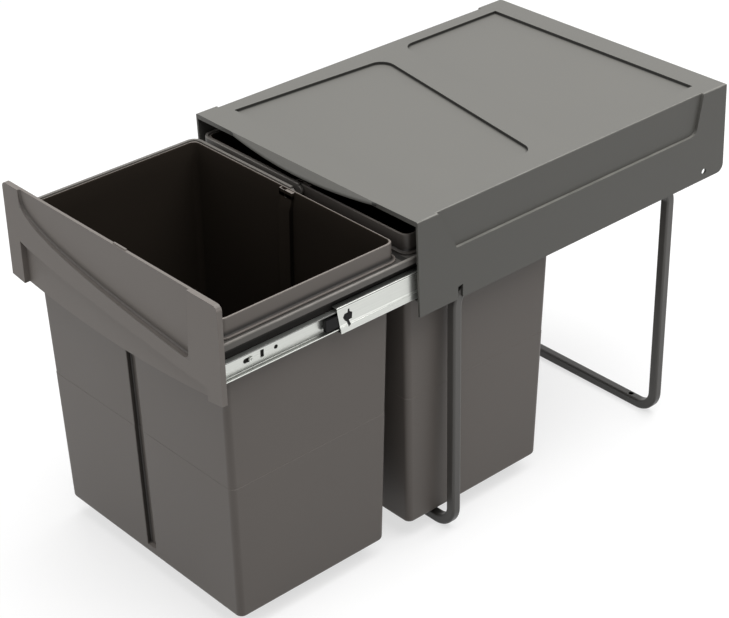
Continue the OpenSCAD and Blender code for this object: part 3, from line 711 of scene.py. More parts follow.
@dataclass
class CoverAssembly:
    """The cover over the frame: its top with two shallow fields, skirts, rear wall and front lip."""

    bench: Bench
    top_edge: float = 1.8
    small_edge: float = 0.6
    level: float = 347.0
    border_side: float = 4.0
    border_rear: float = 6.0
    border_reach: float = 1.4
    field_depth: float = 2.8
    field_reach: float = 138.0
    field_shade: float = 2.4
    field_merges: tuple[float, ...] = (0.4, 0.9, 1.3)
    floor_least: float = 100.0
    ledge: float = 306.0
    ledge_reach: float = 1.8
    ledge_side: float = 6.0

    def build(self) -> None:
        """Round the cover's edges, the outer top edge more than the rest, and mark their light and shade."""
        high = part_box("top_cover")[1]
        bm = self.bench.copy_of("top_cover")
        side = high.x - self.border_side * MM
        rear = high.y - self.border_rear * MM
        for reach in self.field_merges:
            bmesh.ops.remove_doubles(bm, verts=[v for v in bm.verts if self.in_field(v.co)], dist=reach * MM)

        def on_border(place: Vector) -> bool:
            """Whether a place lies on the top's outer border."""
            at_top = abs(place.z - self.level * MM) < self.border_reach * MM
            return at_top and (abs(place.x) > side or place.y > rear)

        self.bench.break_edges(bm, self.top_edge, 3, pick=lambda e: all(on_border(v.co) for v in e.verts))
        self.bench.break_edges(bm, self.small_edge, 2, turn=40.0, pick=self.bench.unmarked(bm))
        mask = self.bench.edge_layer(bm)
        ledge_side = high.x - self.ledge_side * MM
        for face in bm.faces:
            place = face.calc_center_median()
            light, shade, _, alpha = face.loops[0][mask]
            # Painted highlight stays on the outer top edge only where its rounding faces up, goes onto the
            # upward faces of the skirts' ledge, and leaves every other edge.
            if on_border(place):
                light *= clamp((face.normal.z - 0.35) / 0.4)
            elif abs(place.x) > ledge_side and abs(place.z - self.ledge * MM) < self.ledge_reach * MM:
                light, shade = (1.0, 0.0) if face.normal.z > 0.3 else (0.0, 0.0)
            else:
                light = 0.0
            for loop in face.loops:
                loop[mask] = (light, shade, 0.0, alpha)
        self.shade_fields(bm, mask)
        self.bench.finish(Part("cover_moulding", "top_cover", "frame", Slot.COVER), bm)

    def in_field(self, place: Vector) -> bool:
        """Tell whether a place lies in one of the top's shallow fields or on its border."""
        deep = self.level - place.z / MM
        return -0.1 < deep < self.field_depth + 0.1 and abs(place.x) < self.field_reach * MM

    def shade_fields(self, bm: BMesh, mask: Layer) -> None:
        """Mark the shade on the fields' walls and, fading, along the foot of the walls.

        Args:
            bm: The cover's mesh.
            mask: Its edge marks.
        """
        self.bench.paint_light_shade(bm, lambda f: abs(f.normal.z) < 0.8 and self.in_field(f.calc_center_median()),
                        shade=1.0)
        base = (self.level - self.field_depth) * MM
        floors = [f for f in bm.faces
                  if f.normal.z > 0.99 and abs(f.calc_center_median().z - base) < 0.1 * MM
                  and f.calc_area() > (self.floor_least * MM) ** 2]
        made = bmesh.ops.inset_individual(bm, faces=floors, thickness=self.field_shade * MM,
                                          use_even_offset=True)
        inner = {vert for floor in floors for vert in floor.verts}
        for face in made["faces"]:
            for loop in face.loops:
                loop[mask] = (0.0, 0.0 if loop.vert in inner else 0.9, 0.0, 1.0)


@dataclass
class FrameAssembly:
    """The two bent legs, their end plugs, the side rails and the fixed slide members."""

    bench: Bench
    bar_top: float = 14.0
    bar_fade: float = 20.0
    bar_shade: float = 1.5
    plug_edge: float = 0.35
    rail_edge: float = 0.3
    outer_bend: float = 1.1
    buffer_edge: float = 0.6

    def build(self) -> None:
        """Dress the fixed steel parts."""
        bench = self.bench
        for node in ("front_leg", "rear_leg"):
            bm = bench.copy_of(node)
            # Painted shade on the floor bar, fading out up the bends.
            bench.paint_light_shade(bm, lambda face: True, shade=self.floor_shade)
            bench.finish(Part(node + "_tube", node, "frame", Slot.COATED), bm, sharp=40.0)
        bench.softened(Part("leg_end_plugs", "tube_plugs", "frame", Slot.BLACK), self.plug_edge)
        for side in SIDES:
            rail = Part(side + "_rail_strip", side + "_side_rail", "frame", Slot.COATED)
            outer = Part(side + "_outer_strip", side + "_outer_slide", "frame", Slot.ZINC)
            buffer = Part(side + "_buffer_block", side + "_rear_buffer", "frame", Slot.RUBBER)
            bench.softened(rail, self.rail_edge)
            bench.rolled(outer, self.outer_bend, self.dress_outer)
            bench.softened(buffer, self.buffer_edge)

    def floor_shade(self, place: Vector) -> float:
        """Give the shade at a place on a leg, full on its floor bar and gone above the bends."""
        return self.bar_shade * clamp(1.0 - (place.z / MM - self.bar_top) / self.bar_fade)

    def dress_outer(self, bm: BMesh, node: str) -> None:
        """Shade the inside of a fixed slide member, given with its solid's name."""
        way = math.copysign(1.0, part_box(node)[0].x)
        self.bench.paint_light_shade(bm, lambda f: f.normal.x * way < -0.8, shade=0.8)


@dataclass(frozen=True)
class Stripe:
    """A painted line of highlight or shade along a slide member's web, between two heights in millimetres from
    the slide's middle.
    """

    low: float
    high: float
    light: float = 0.0
    shade: float = 0.0


@dataclass
class SlideAssembly:
    """The moving slide members of both sides with their ball cages."""

    bench: Bench
    # Painted highlight and shade lines on the middle member's web.
    web_lines: tuple[Stripe, ...] = (
        Stripe(11.8, 12.7, shade=0.75), Stripe(10.6, 11.8, light=0.5), Stripe(-5.9, -4.4, light=1.0),
        Stripe(-7.2, -5.9, shade=0.12))
    top_shade: float = 0.75
    shelf_shares: tuple[float, float] = (0.3, 0.65)
    shelf_shades: tuple[float, float, float] = (0.72, 1.0, 0.66)
    sheet: float = 1.0
    middle_bend: float = 1.0
    inner_bend: float = 0.9
    clip_edge: float = 0.3
    cage_edge: float = 0.12

    def dress_middle(self, bm: BMesh, node: str) -> None:
        """Paint highlight and shade lines along a middle member's web, and painted shade on its top.

        Args:
            bm: The member's mesh.
            node: Its solid.
        """
        low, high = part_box(node)
        middle = (low.z + high.z) / 2.0
        way = math.copysign(1.0, low.x)
        levels = sorted({level for line in self.web_lines for level in (line.low, line.high)})
        self.bench.split(bm, 2, [middle + level * MM for level in levels])

        def on_line(face: BMFace, line: Stripe) -> bool:
            """Whether a face of the web's outside lies on a line."""
            height = (face.calc_center_median().z - middle) / MM
            return face.normal.x * way > 0.7 and line.low < height < line.high

        for line in self.web_lines:
            self.bench.paint_light_shade(bm, lambda f, line=line: on_line(f, line), line.light, line.shade)
        self.bench.paint_light_shade(bm, lambda f: f.normal.z > 0.8 and f.calc_center_median().z > high.z - self.sheet * MM,
                        shade=self.top_shade)

    def dress_inner(self, bm: BMesh, node: str) -> None:
        """Mark the shade in an inner member's channel and the light on its lower edge.

        Args:
            bm: The member's mesh.
            node: Its solid.
        """
        low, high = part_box(node)
        middle = (low.z + high.z) / 2.0
        way = math.copysign(1.0, low.x)
        web, mouth = sorted((abs(low.x), abs(high.x)))
        web += self.sheet * MM
        near, far = (web + share * (mouth - web) for share in self.shelf_shares)
        self.bench.split(bm, 0, [way * near, way * far])

        def on_shelf(face: BMFace, start: float, end: float) -> bool:
            """Whether a face is part of the lower flange's upper side."""
            place = face.calc_center_median()
            return face.normal.z > 0.8 and place.z < middle and start < abs(place.x) < end

        def on_mouth(face: BMFace, upper: bool) -> bool:
            """Whether a face is part of the channel's open edge, above or below its middle."""
            place = face.calc_center_median()
            outer = face.normal.x * way > 0.8 and abs(place.x) > mouth - 0.1 * MM
            return outer and (place.z > middle) is upper

        for start, end, shade in zip((web, near, far), (near, far, mouth), self.shelf_shades):
            self.bench.paint_light_shade(bm, lambda f, a=start, b=end: on_shelf(f, a, b), shade=shade)
        self.bench.paint_light_shade(bm, lambda f: on_mouth(f, True), shade=0.85)
        self.bench.paint_light_shade(bm, lambda f: on_mouth(f, False), light=0.6)

    def build(self) -> None:
        """Dress the middle and inner members, their stops and the cages."""
        bench = self.bench
        for side in SIDES:
            body = side + "_middle"
            middle = Part(side + "_middle_strip", side + "_middle_slide", body, Slot.ZINC)
            clip = Part(side + "_stop_latch", side + "_stop_clip", body, Slot.BLACK)
            inner = Part(side + "_inner_strip", side + "_inner_slide", "drawer", Slot.ZINC)
            bench.rolled(middle, self.middle_bend, self.dress_middle)
            bench.softened(clip, self.clip_edge)
            bench.rolled(inner, self.inner_bend, self.dress_inner)
            for run in RUNS:
                name = f"{side}_{run}"
                cage = Part(name + "_ball_cage", name + "_cage", name + "_run", Slot.ZINC)
                bench.softened(cage, self.cage_edge)


@dataclass
class HardwareTrees:
    """Geometry node trees for the repeated small parts, and the pieces made with them."""

    bench: Bench
    head_vertices: int = 28
    shank_vertices: int = 20
    head_taper: float = 0.82
    recess_share: float = 0.27
    arm_shares: tuple[float, float] = (2.0, 0.42)
    screw_shank: float = 0.28
    rivet_shank: float = 0.5
    rivet_head: float = 0.35
    screw_head: float = 1.2
    panel_head: float = 2.4
    sharp: float = 35.0
    trees: dict[str, bpy.types.NodeTree] = field(default_factory=dict)

    def start(self, name: str, sizes: Mapping[str, float]) -> tuple[Desk, Sockets]:
        """Start a tree that takes points, named sizes and a material.

        Args:
            name: The tree's name.
            sizes: Name and default of each size.

        Returns:
            The tree's desk and the sockets of its inputs.
        """
        points = {"Geometry": "NodeSocketGeometry"}
        inputs = {**points, **sizes, "Material": "NodeSocketMaterial"}
        desk, given = Desk.group(name, "GeometryNodeTree", inputs, points)
        self.trees[name] = desk.tree
        return desk, given

    def end(self, desk: Desk, given: Sockets, shape: Socket, turn: Socket | None = None) -> None:
        """Place a shape on every point and finish the tree.

        Args:
            desk: The tree's desk.
            given: The sockets of its inputs.
            shape: The shape to place.
            turn: The turn of each place, or none.
        """
        smooth = desk.put("GeometryNodeSetShadeSmooth", {"Geometry": shape})
        places = {"Points": given["Geometry"], "Instance": smooth.outputs["Geometry"]}
        if turn is not None:
            places["Rotation"] = turn
        placed = desk.put("GeometryNodeInstanceOnPoints", places)
        real = desk.put("GeometryNodeRealizeInstances", {"Geometry": placed.outputs["Instances"]})
        dressed = desk.put("GeometryNodeSetMaterial", {"Geometry": real.outputs["Geometry"],
                                                       "Material": given["Material"]})
        desk.put("NodeGroupOutput", {"Geometry": dressed.outputs["Geometry"]})

    def ball_tree(self) -> None:
        """Balls on points."""
        desk, given = self.start("ball_row", {"Radius": 1.5 * MM})
        ball = desk.put("GeometryNodeMeshIcoSphere", {"Subdivisions": 3, "Radius": given["Radius"]})
        self.end(desk, given, ball.outputs["Mesh"])

    def head_tree(self, name: str, recess: Recess) -> None:
        """Fastener heads with a shank, turned outwards on points.

        Args:
            name: The tree's name.
            recess: The mark in the head.
        """
        desk, given = self.start(name, {
            "Head Radius": 3.0 * MM, "Head Height": 1.2 * MM, "Shank Radius": 1.7 * MM,
            "Shank Length": 3.0 * MM, "Recess": 1.6 * MM})
        head = desk.put("GeometryNodeMeshCone", {
            "Vertices": self.head_vertices, "Radius Bottom": given["Head Radius"],
            "Radius Top": desk.calc("MULTIPLY", given["Head Radius"], self.head_taper),
            "Depth": given["Head Height"]})
        shank = self.pin(desk, given["Shank Radius"], given["Shank Length"])
        down = desk.vector(Z=desk.calc("MULTIPLY", given["Shank Length"], -0.5))
        lowered = desk.put("GeometryNodeTransform", {"Geometry": shank, "Translation": down})
        rise = desk.vector(Z=given["Head Height"])
        cut = desk.put("GeometryNodeMeshBoolean", {"Mesh 1": head.outputs["Mesh"]}, operation="DIFFERENCE")
        for cutter in self.cutters(desk, given, recess):
            raised = desk.put("GeometryNodeTransform", {"Geometry": cutter, "Translation": rise})
            desk.feed(cut, {"Mesh 2": raised.outputs["Geometry"]})
        joined = desk.put("GeometryNodeJoinGeometry")
        for part in (cut.outputs["Mesh"], lowered.outputs["Geometry"]):
            desk.feed(joined, {"Geometry": part})
        outward = desk.put("GeometryNodeInputNamedAttribute", {"Name": OUTWARD}, data_type="FLOAT_VECTOR")
        turn = desk.put("FunctionNodeAlignRotationToVector", {"Vector": outward.outputs["Attribute"]},
                        axis="Z")
        self.end(desk, given, joined.outputs["Geometry"], turn.outputs["Rotation"])

    def pin(self, desk: Desk, radius: Socket, depth: Socket) -> Socket:
        """Make a round pin of a radius and a depth."""
        sizes = {"Vertices": self.shank_vertices, "Radius": radius, "Depth": depth}
        return desk.put("GeometryNodeMeshCylinder", sizes).outputs["Mesh"]

    def cutters(self, desk: Desk, given: Sockets, recess: Recess) -> list[Socket]:
        """Make the shapes that cut the mark of a head.

        Args:
            desk: The desk of the head's tree.
            given: The sockets of its inputs.
            recess: The mark.

        Returns:
            The shapes' sockets.
        """
        deep = given["Head Height"]
        if recess is Recess.ROUND:
            return [self.pin(desk, given["Recess"], deep)]
        long, thin = (desk.calc("MULTIPLY", given["Recess"], share) for share in self.arm_shares)
        sizes = [desk.vector(X=x, Y=y, Z=deep) for x, y in ((long, thin), (thin, long))]
        return [desk.put("GeometryNodeMeshCube", {"Size": size}).outputs["Mesh"] for size in sizes]

    def grow(self, part: Part, tree: str, places: Sequence[Pair], sizes: Mapping[str, float]) -> None:
        """Make one piece from a tree and a list of places.

        Args:
            part: What the piece is.
            tree: Name of the tree.
            places: Position and outward direction of each place.
            sizes: The tree's sizes in metres.
        """
        raw = bpy.data.meshes.new(part.name + "_places")
        raw.from_pydata([place for place, _ in places], [], [])
        outward = raw.attributes.new(OUTWARD, "FLOAT_VECTOR", "POINT")
        for index, (_, direction) in enumerate(places):
            outward.data[index].vector = direction
        holder = add_object(part.name + "_places", raw)
        modifier = holder.modifiers.new("places", "NODES")
        modifier.node_group = self.trees[tree]
        values = {**sizes, "Material": self.bench.shelf.get(SLOT_FINISH[part.slot])}
        for item in self.trees[tree].interface.items_tree:
            if item.item_type == "SOCKET" and item.in_out == "INPUT" and item.name in values:
                modifier[item.identifier] = values[item.name]
        mesh = self.bench.plain(holder, part.name)
        mesh.set_sharp_from_angle(angle=math.radians(self.sharp))
        self.bench.piece(part, mesh)

    def build(self) -> None:
        """Build the trees and the pieces: balls, rivets and screws."""
        self.ball_tree()
        self.head_tree("rivet_heads", Recess.ROUND)
        self.head_tree("screw_heads", Recess.CROSS)
        up = Vector((0.0, 0.0, 1.0))
        for name in (f"{side}_{run}" for side in SIDES for run in RUNS):
            part = Part(name + "_ball_row", name + "_balls", name + "_run", Slot.BEARING)
            boxes = self.bench.islands(part.node)
            radius = (boxes[0][1].z - boxes[0][0].z) / 2.0
            self.grow(part, "ball_row", [((low + high) / 2.0, up) for low, high in boxes], {"Radius": radius})
        rivets = Part("slide_rivet_heads", "slide_rivets", "frame", Slot.ZINC)
        inner = Part("inner_strip_screws", "inner_slide_screws", "drawer", Slot.ZINC)
        panel = Part("panel_fixing_screws", "panel_screws", "drawer", Slot.ZINC)
        self.fasteners(rivets, "rivet_heads", self.rivet_shank, 0, -1.0, self.rivet_head)
        self.fasteners(inner, "screw_heads", self.screw_shank, 0, 1.0, self.screw_head)
        self.fasteners(panel, "screw_heads", self.screw_shank, 1, -1.0, self.panel_head)

    def fasteners(self, part: Part, tree: str, shank: float, axis: int, way: float, head: float) -> None:
        """Make a node's fasteners from a tree.

        Args:
            part: What the piece is.
            tree: Name of the tree.
            shank: The shank's radius as a share of the head's width.
            axis: The axis that the fasteners lie along.
            way: Whether a head points away from the middle (1) or towards it (-1).
            head: Height of a head in millimetres.
        """
        places: list[Pair] = []
        across = (axis + 1) % 3
        length = width = 0.0
        for low, high in self.bench.islands(part.node):
            seat = (low + high) / 2.0
            sign = math.copysign(1.0, seat[axis]) * way
            outward = Vector((0.0, 0.0, 0.0))
            outward[axis] = sign
            seat[axis] = (high[axis] if sign > 0.0 else low[axis]) - sign * head * MM
            places.append((seat, outward))
            length = high[axis] - low[axis] - head * MM
            width = high[across] - low[across]
        self.grow(part, tree, places, {
            "Head Radius": width / 2.0, "Head Height": head * MM, "Shank Radius": width * shank,
            "Shank Length": length, "Recess": width * self.recess_share})


@dataclass
class DrawerAssembly:
    """The carriage, the front panel and the bins' handles."""

    bench: Bench
    wave: Wave = PANEL_WAVE
    wave_fillet: float = 2.2
    wave_reach: float = 4.0
    panel_edge: float = 0.7
    top_reach: float = 18.0
    top_shade: float = 1.5
    carriage_edge: float = 0.7
    carriage_shade: float = 0.7
    lip_edge: float = 1.5
    lip_height: float = 6.5
    wall_fade: float = 7.5
    wall_shade: float = 1.1
    wall_shares: tuple[float, ...] = (0.33, 0.67, 1.0)
    gap_shade: float = 1.1
    bail_edge: float = 0.6

    def panel(self) -> None:
        """Round the panel's edges, with a wide fillet in the foot of its wave, and paint shade on that fillet
        and on the panel's top faces.
        """
        bm = self.bench.copy_of("front_panel")

        def in_wave(edge: BMEdge) -> bool:
            """Whether an inner edge runs along the foot of the wave."""
            x, _, z = (edge.verts[0].co + edge.verts[1].co) / (2.0 * MM)
            return (edge.calc_face_angle_signed(0.0) <= 0.0 and self.wave.left < x < self.wave.end + 1.0
                    and abs(z - self.wave.height(x)) < self.wave_reach)

        self.bench.break_edges(bm, self.wave_fillet, 5, turn=20.0, pick=in_wave, clamped=False)
        mask = self.bench.edge_layer(bm)
        # The wave's fillet carries painted shade and no painted highlight.
        for face in bm.faces:
            for loop in face.loops:
                alpha = loop[mask][3]
                loop[mask] = (0.0, 1.0 if alpha > 0.5 else 0.0, 0.0, alpha)
        self.bench.break_edges(bm, self.panel_edge, 3, turn=30.0, pick=self.bench.unmarked(bm))
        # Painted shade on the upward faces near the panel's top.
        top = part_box("front_panel")[1].z - self.top_reach * MM
        self.bench.paint_light_shade(bm, lambda f: f.normal.z > 0.6 and f.calc_center_median().z > top,
                        shade=self.top_shade)
        self.bench.finish(Part("panel_moulding", "front_panel", "drawer", Slot.PANEL), bm)

    def carriage(self) -> None:
        """Round the carriage's edges, its lip's more than the rest, and mark the shade about them."""
        bm = self.bench.copy_of("carriage_frame")
        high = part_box("carriage_frame")[1]
        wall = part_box("right_inner_slide")[0].x
        gap = (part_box("front_bin")[1].y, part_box("rear_bin")[0].y)
        under = high.z - self.lip_height * MM

        def on_lip(edge: BMEdge) -> bool:
            """Whether an edge is the lip's outer top edge."""
            return all(v.co.z > high.z - 0.1 * MM and abs(v.co.x) > high.x - 0.1 * MM for v in edge.verts)

        def on_top(face: BMFace) -> bool:
            """Whether a face is part of the carriage's top."""
            return face.normal.z > 0.95 and face.calc_center_median().z > high.z - 0.1 * MM

        def on_wall(face: BMFace) -> bool:
            """Whether a face is part of the wall under the lip."""
            return abs(face.normal.x) > 0.9 and abs(abs(face.calc_center_median().x) - wall) < 0.2 * MM

        # Rounded outer edges carry painted highlight, the lip's top edge the widest, and hollow ones painted
        # shade.
        self.bench.break_edges(bm, self.lip_edge, 3, pick=on_lip)
        self.bench.break_edges(bm, self.carriage_edge, 2, pick=self.bench.unmarked(bm))
        self.bench.split(bm, 1, gap)
        self.bench.split(bm, 2, [under - self.wall_fade * MM * share for share in self.wall_shares])
        # Painted shade on the wall under the lip, deepening downwards; that wall also takes the less glossy
        # matt copy of the frame plastic.
        self.bench.paint_light_shade(bm, on_wall,
                        shade=lambda p: self.wall_shade * clamp((under - p.z) / (self.wall_fade * MM)))
        for face in bm.faces:
            face.material_index = 1 if on_wall(face) else 0
        # Painted shade on the carriage's top, deeper between the bins.
        self.bench.paint_light_shade(bm, on_top, shade=self.carriage_shade)
        self.bench.paint_light_shade(bm, lambda f: on_top(f) and gap[0] < f.calc_center_median().y < gap[1],
                        shade=self.gap_shade)
        self.bench.finish(Part("carriage_tray", "carriage_frame", "drawer", Slot.FRAME), bm,
                          [FRAME_PLASTIC, FRAME_MATT])

    def build(self) -> None:
        """Dress the carriage, panel and handles."""
        self.carriage()
        self.panel()
        for bail in (Part("front_bail", "front_handle", "front_bail", Slot.FRAME),
                     Part("rear_bail", "rear_handle", "drawer", Slot.FRAME)):
            self.bench.softened(bail, self.bail_edge, segments=3)


@dataclass(frozen=True)
class Ring:
    """One level of a bin's wall, in millimetres from the bin's middle."""

    z: float
    half_x: float
    half_y: float
    radius: float
    rib: float = 0.0
    inside: bool = False
    shade: float = 0.0


@dataclass
class BinAssembly:
    """The two waste bins: drawn-in bodies with a groove down each end, a flange and a rim band."""

    bench: Bench
    wall: float = 2.2
    rim_band: float = 18.0
    rim_half: float = 136.0
    flange: float = 3.5
    flange_thick: float = 2.0
    rim_radius: float = 6.5
    body_inset: float = 2.3
    draft: float = 6.5
    corner: float = 6.0
    floor_radius: float = 4.0
    floor_steps: int = 5
    groove_half: float = 6.1
    groove_depth: float = 4.2
    groove_low: float = 10.3
    groove_top: float = 285.0
    boss_half: float = 9.0
    boss_low: float = 7.0
    boss_in: float = 3.0
    boss_edge: float = 0.3
    seam_height: float = 140.0
    seam_step: float = 0.2
    corner_steps: int = 8
    gap_reach: float = 4.5
    gap_fade: float = 25.0
    foot_shade: float = 0.15

    def gap_shade(self, place: Vector, front: float, ledge: float) -> float:
        """Give the shade on the rear bin's front band, which looks into the narrow gap between the bins.

        Args:
            place: The place on the bin.
            front: Where the bin begins.
            ledge: Height of the flange's underside in millimetres.

        Returns:
            The shade's share there.
        """
        above = (place.z / MM - ledge) / self.rim_band
        if above < -0.01:
            return 0.0
        behind = ((place.y - front) / MM - self.gap_reach) / self.gap_fade
        return (0.95 - 0.45 * above) * clamp(1.0 - behind)

    def groove(self, inside: bool) -> list[tuple[float, float, float]]:
        """Lay out the groove across an end wall, from left to right.

        Args:
            inside: Whether it is the rib on the wall's inner side.

        Returns:
            Place across, share of the depth and share of the shade of each point.
        """
        half = self.groove_half
        if inside:
            half += self.wall
            return [(-half - 0.6, 0.0, 0.0), (-half, 0.1, 0.4), (0.5 - half, 0.85, 0.4),
                    (1.4 - half, 1.0, 0.0), (half - 1.4, 1.0, 0.1), (half - 0.5, 0.85, 1.0),
                    (half, 0.1, 1.0), (half + 0.8, 0.0, 0.3)]
        return [(-half - 0.6, 0.0, 0.0), (0.05 - half, 0.1, 0.7), (0.5 - half, 0.85, 1.0),
                (1.4 - half, 1.0, 0.9), (5.6 - half, 1.0, 0.15), (half - 3.0, 0.85, 0.0),
                (half - 0.8, 0.3, 0.0), (half + 0.8, 0.0, 0.0)]

    def ring_points(self, ring: Ring, y: float) -> list[tuple[Vector, float]]:
        """Lay out the points of one level, counter-clockwise from the front wall's left end.

        Args:
            ring: The level.
            y: Place of the bin's middle.

        Returns:
            The points in metres, in the shared frame, each with its shade.
        """
        straight_x = ring.half_x - ring.radius
        straight_y = ring.half_y - ring.radius
        deep = ring.rib / self.groove_depth
        wide = 0.55 * straight_x
        groove = [(-wide, 0.0, 0.0), *self.groove(ring.inside), (wide, 0.0, 0.0)]
        points: list[tuple[float, float, float]] = []
        for turn in range(4):
            angle = -math.pi / 2.0 + turn * math.pi / 2.0
            if turn == 0:
                points += [(x, share * ring.rib - ring.half_y, shade * deep) for x, share, shade in groove]
            elif turn == 2:
                points += [(x, ring.half_y - share * ring.rib, shade * deep)
                           for x, share, shade in reversed(groove)]
            else:
                sign = 1.0 if turn == 1 else -1.0
                points += [(sign * ring.half_x, sign * straight_y * share, 0.0) for share in (-0.5, 0.0, 0.5)]
            centre_x = straight_x * (1.0 if turn in (0, 1) else -1.0)
            centre_y = straight_y * (1.0 if turn in (1, 2) else -1.0)
            for step in range(self.corner_steps + 1):
                a = angle + step * math.pi / 2.0 / self.corner_steps
                points.append((centre_x + ring.radius * math.cos(a),
                               centre_y + ring.radius * math.sin(a), 0.0))
        return [(Vector((px * MM, py * MM + y, ring.z * MM)), max(shade, ring.shade))
                for px, py, shade in points]

    def rings(self, low: float, high: float, half_len: float) -> list[Ring]:
        """List a bin's levels from under the floor, up the outside, over the rim and down the inside.

        Args:
            low: Height of the floor's underside.
            high: Height of the rim.
            half_len: Half the rim band's length.

        Returns:
            The levels.
        """
        ledge = high - self.rim_band
        body_x = self.rim_half - self.body_inset
        body_y = half_len - self.body_inset
        seam = low + self.seam_height
        depth, thick, lip, band = self.groove_depth, self.wall, self.flange_thick, self.rim_band

        def body(z: float, more: float, rib: float, inside: bool = False) -> Ring:
            """Give a level of the drawn-in body.

            Args:
                z: Its height.
                more: How much further in it lies.
                rib: Depth of the groove.
                inside: Whether it is on the wall's inner side.

            Returns:
                The level.
            """
            down = (ledge - z) / (ledge - low)
            inset = self.draft * down + more
            if not inside and seam < z < ledge:
                inset += self.seam_step * (ledge - z) / (ledge - seam)
            # Painted shade on the outside, darker towards the bottom.
            shade = 0.0 if inside else self.foot_shade * down
            return Ring(z, body_x - inset, body_y - inset, self.corner, rib, inside, shade)

        def fillet(step: int, radius: float) -> tuple[float, float]:
            """Give the rise and the inset of a step round the floor's edge."""
            a = math.radians(90.0 / self.floor_steps * step)
            return radius * (1.0 - math.cos(a)), radius * (1.0 - math.sin(a))

        levels: list[Ring] = []
        for step in range(self.floor_steps + 1):
            rise, inset = fillet(step, self.floor_radius)
            levels.append(body(low + rise, inset, 0.0))
        groove_low, groove_top = low + self.groove_low, low + self.groove_top
        levels += [body(z, 0.0, rib) for z, rib in (
            (groove_low - 0.6, 0.0), (groove_low + 1.0, depth), (seam, depth), (seam + self.seam_step, depth),
            (groove_top - 0.8, depth), (groove_top + 0.8, 0.0), (ledge, 0.0))]
        # Each rim level: how far out, how far up and its painted shade, darkest under the flange and where the
        # rim band meets the flange.
        levels += [
            Ring(ledge + up, self.rim_half + out, half_len + out, max(1.0, self.rim_radius + out), shade=shade)
            for out, up, shade in (
                (self.flange - 0.5, 0.0, 0.9), (self.flange, 0.5, 0.6), (self.flange, lip - 0.7, 0.1),
                (self.flange - 0.2, lip - 0.2, 0.0), (self.flange - 0.7, lip, 0.2), (1.4, lip + 0.05, 0.9),
                (0.5, lip + 0.45, 1.1), (0.1, lip + 1.2, 1.1), (0.0, lip + 2.2, 0.9), (0.0, lip + 3.4, 0.5),
                (0.0, lip + 4.6, 0.15), (0.0, lip + 6.0, 0.0), (0.0, band - 0.9, 0.0),
                (-0.15, band - 0.4, 0.0), (-0.4, band - 0.12, 0.0), (-0.8, band, 0.0))]
        levels += [
            Ring(high - down, self.rim_half - thick + out, half_len - thick + out, self.corner + out,
                 inside=True)
            for down, out in ((0.0, 0.8), (0.12, 0.4), (0.4, 0.15), (0.9, 0.0))]
        levels += [body(ledge, thick, 0.9 * depth, True), body(low + 60.0, thick, depth, True)]
        for step in range(self.floor_steps, -1, -1):
            rise, inset = fillet(step, self.floor_radius - thick / 2.0)
            levels.append(body(low + thick + rise, thick + inset, depth * step / self.floor_steps, True))
        return levels

    def build_bin(self, end: str) -> None:
        """Build one bin.

        Args:
            end: Which bin, front or rear.
        """
        low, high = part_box(end + "_bin")
        y = (low.y + high.y) / 2.0
        half_len = (high.y - low.y) / 2.0 / MM - self.flange
        rim = high.z / MM
        levels = self.rings(low.z / MM, rim, half_len)
        bm = bmesh.new()
        mask = self.bench.edge_layer(bm)
        laid = [self.ring_points(level, y) for level in levels]
        shades = [[shade for _, shade in row] for row in laid]
        if end == "rear":
            shades = [[max(shade, 0.0 if level.inside else self.gap_shade(place, low.y, rim - self.rim_band))
                       for place, shade in row] for level, row in zip(levels, laid)]
        rows = [[bm.verts.new(place) for place, _ in row] for row in laid]
        first_inside = next(i for i, level in enumerate(levels) if level.inside)
        count = len(rows[0])
        for row, (lower, upper) in enumerate(zip(rows, rows[1:])):
            # The rim's top rows carry painted highlight.
            rounded = min(levels[row].z, levels[row + 1].z) > rim - 1.5
            for i in range(count):
                j = (i + 1) % count
                face = bm.faces.new((lower[i], lower[j], upper[j], upper[i]))
                # Faces inside the bin take the darker copy of the plastic as painted shade.
                face.material_index = 1 if row >= first_inside else 0
                corners = (shades[row][i], shades[row][j], shades[row + 1][j], shades[row + 1][i])
                for loop, shade in zip(face.loops, corners):
                    loop[mask] = (1.0 if rounded else 0.0, shade, 0.0, 1.0)
        floors = [bm.faces.new(list(reversed(rows[0]))), bm.faces.new(rows[-1])]
        # The inner floor takes the same painted-shade copy.
        floors[1].material_index = 1
        for floor in floors:
            for loop in floor.loops:
                loop[mask] = (0.0, 0.0, 0.0, 1.0)
        for sign in (-1.0, 1.0):
            self.add_boss(bm, mask, y / MM, sign * (half_len - self.wall), rim)
        self.bench.finish(Part(end + "_bin_shell", end + "_bin", "drawer", Slot.BIN), bm,
                          [BIN_PLASTIC, BIN_INSIDE_SHADE], sharp=34.0)

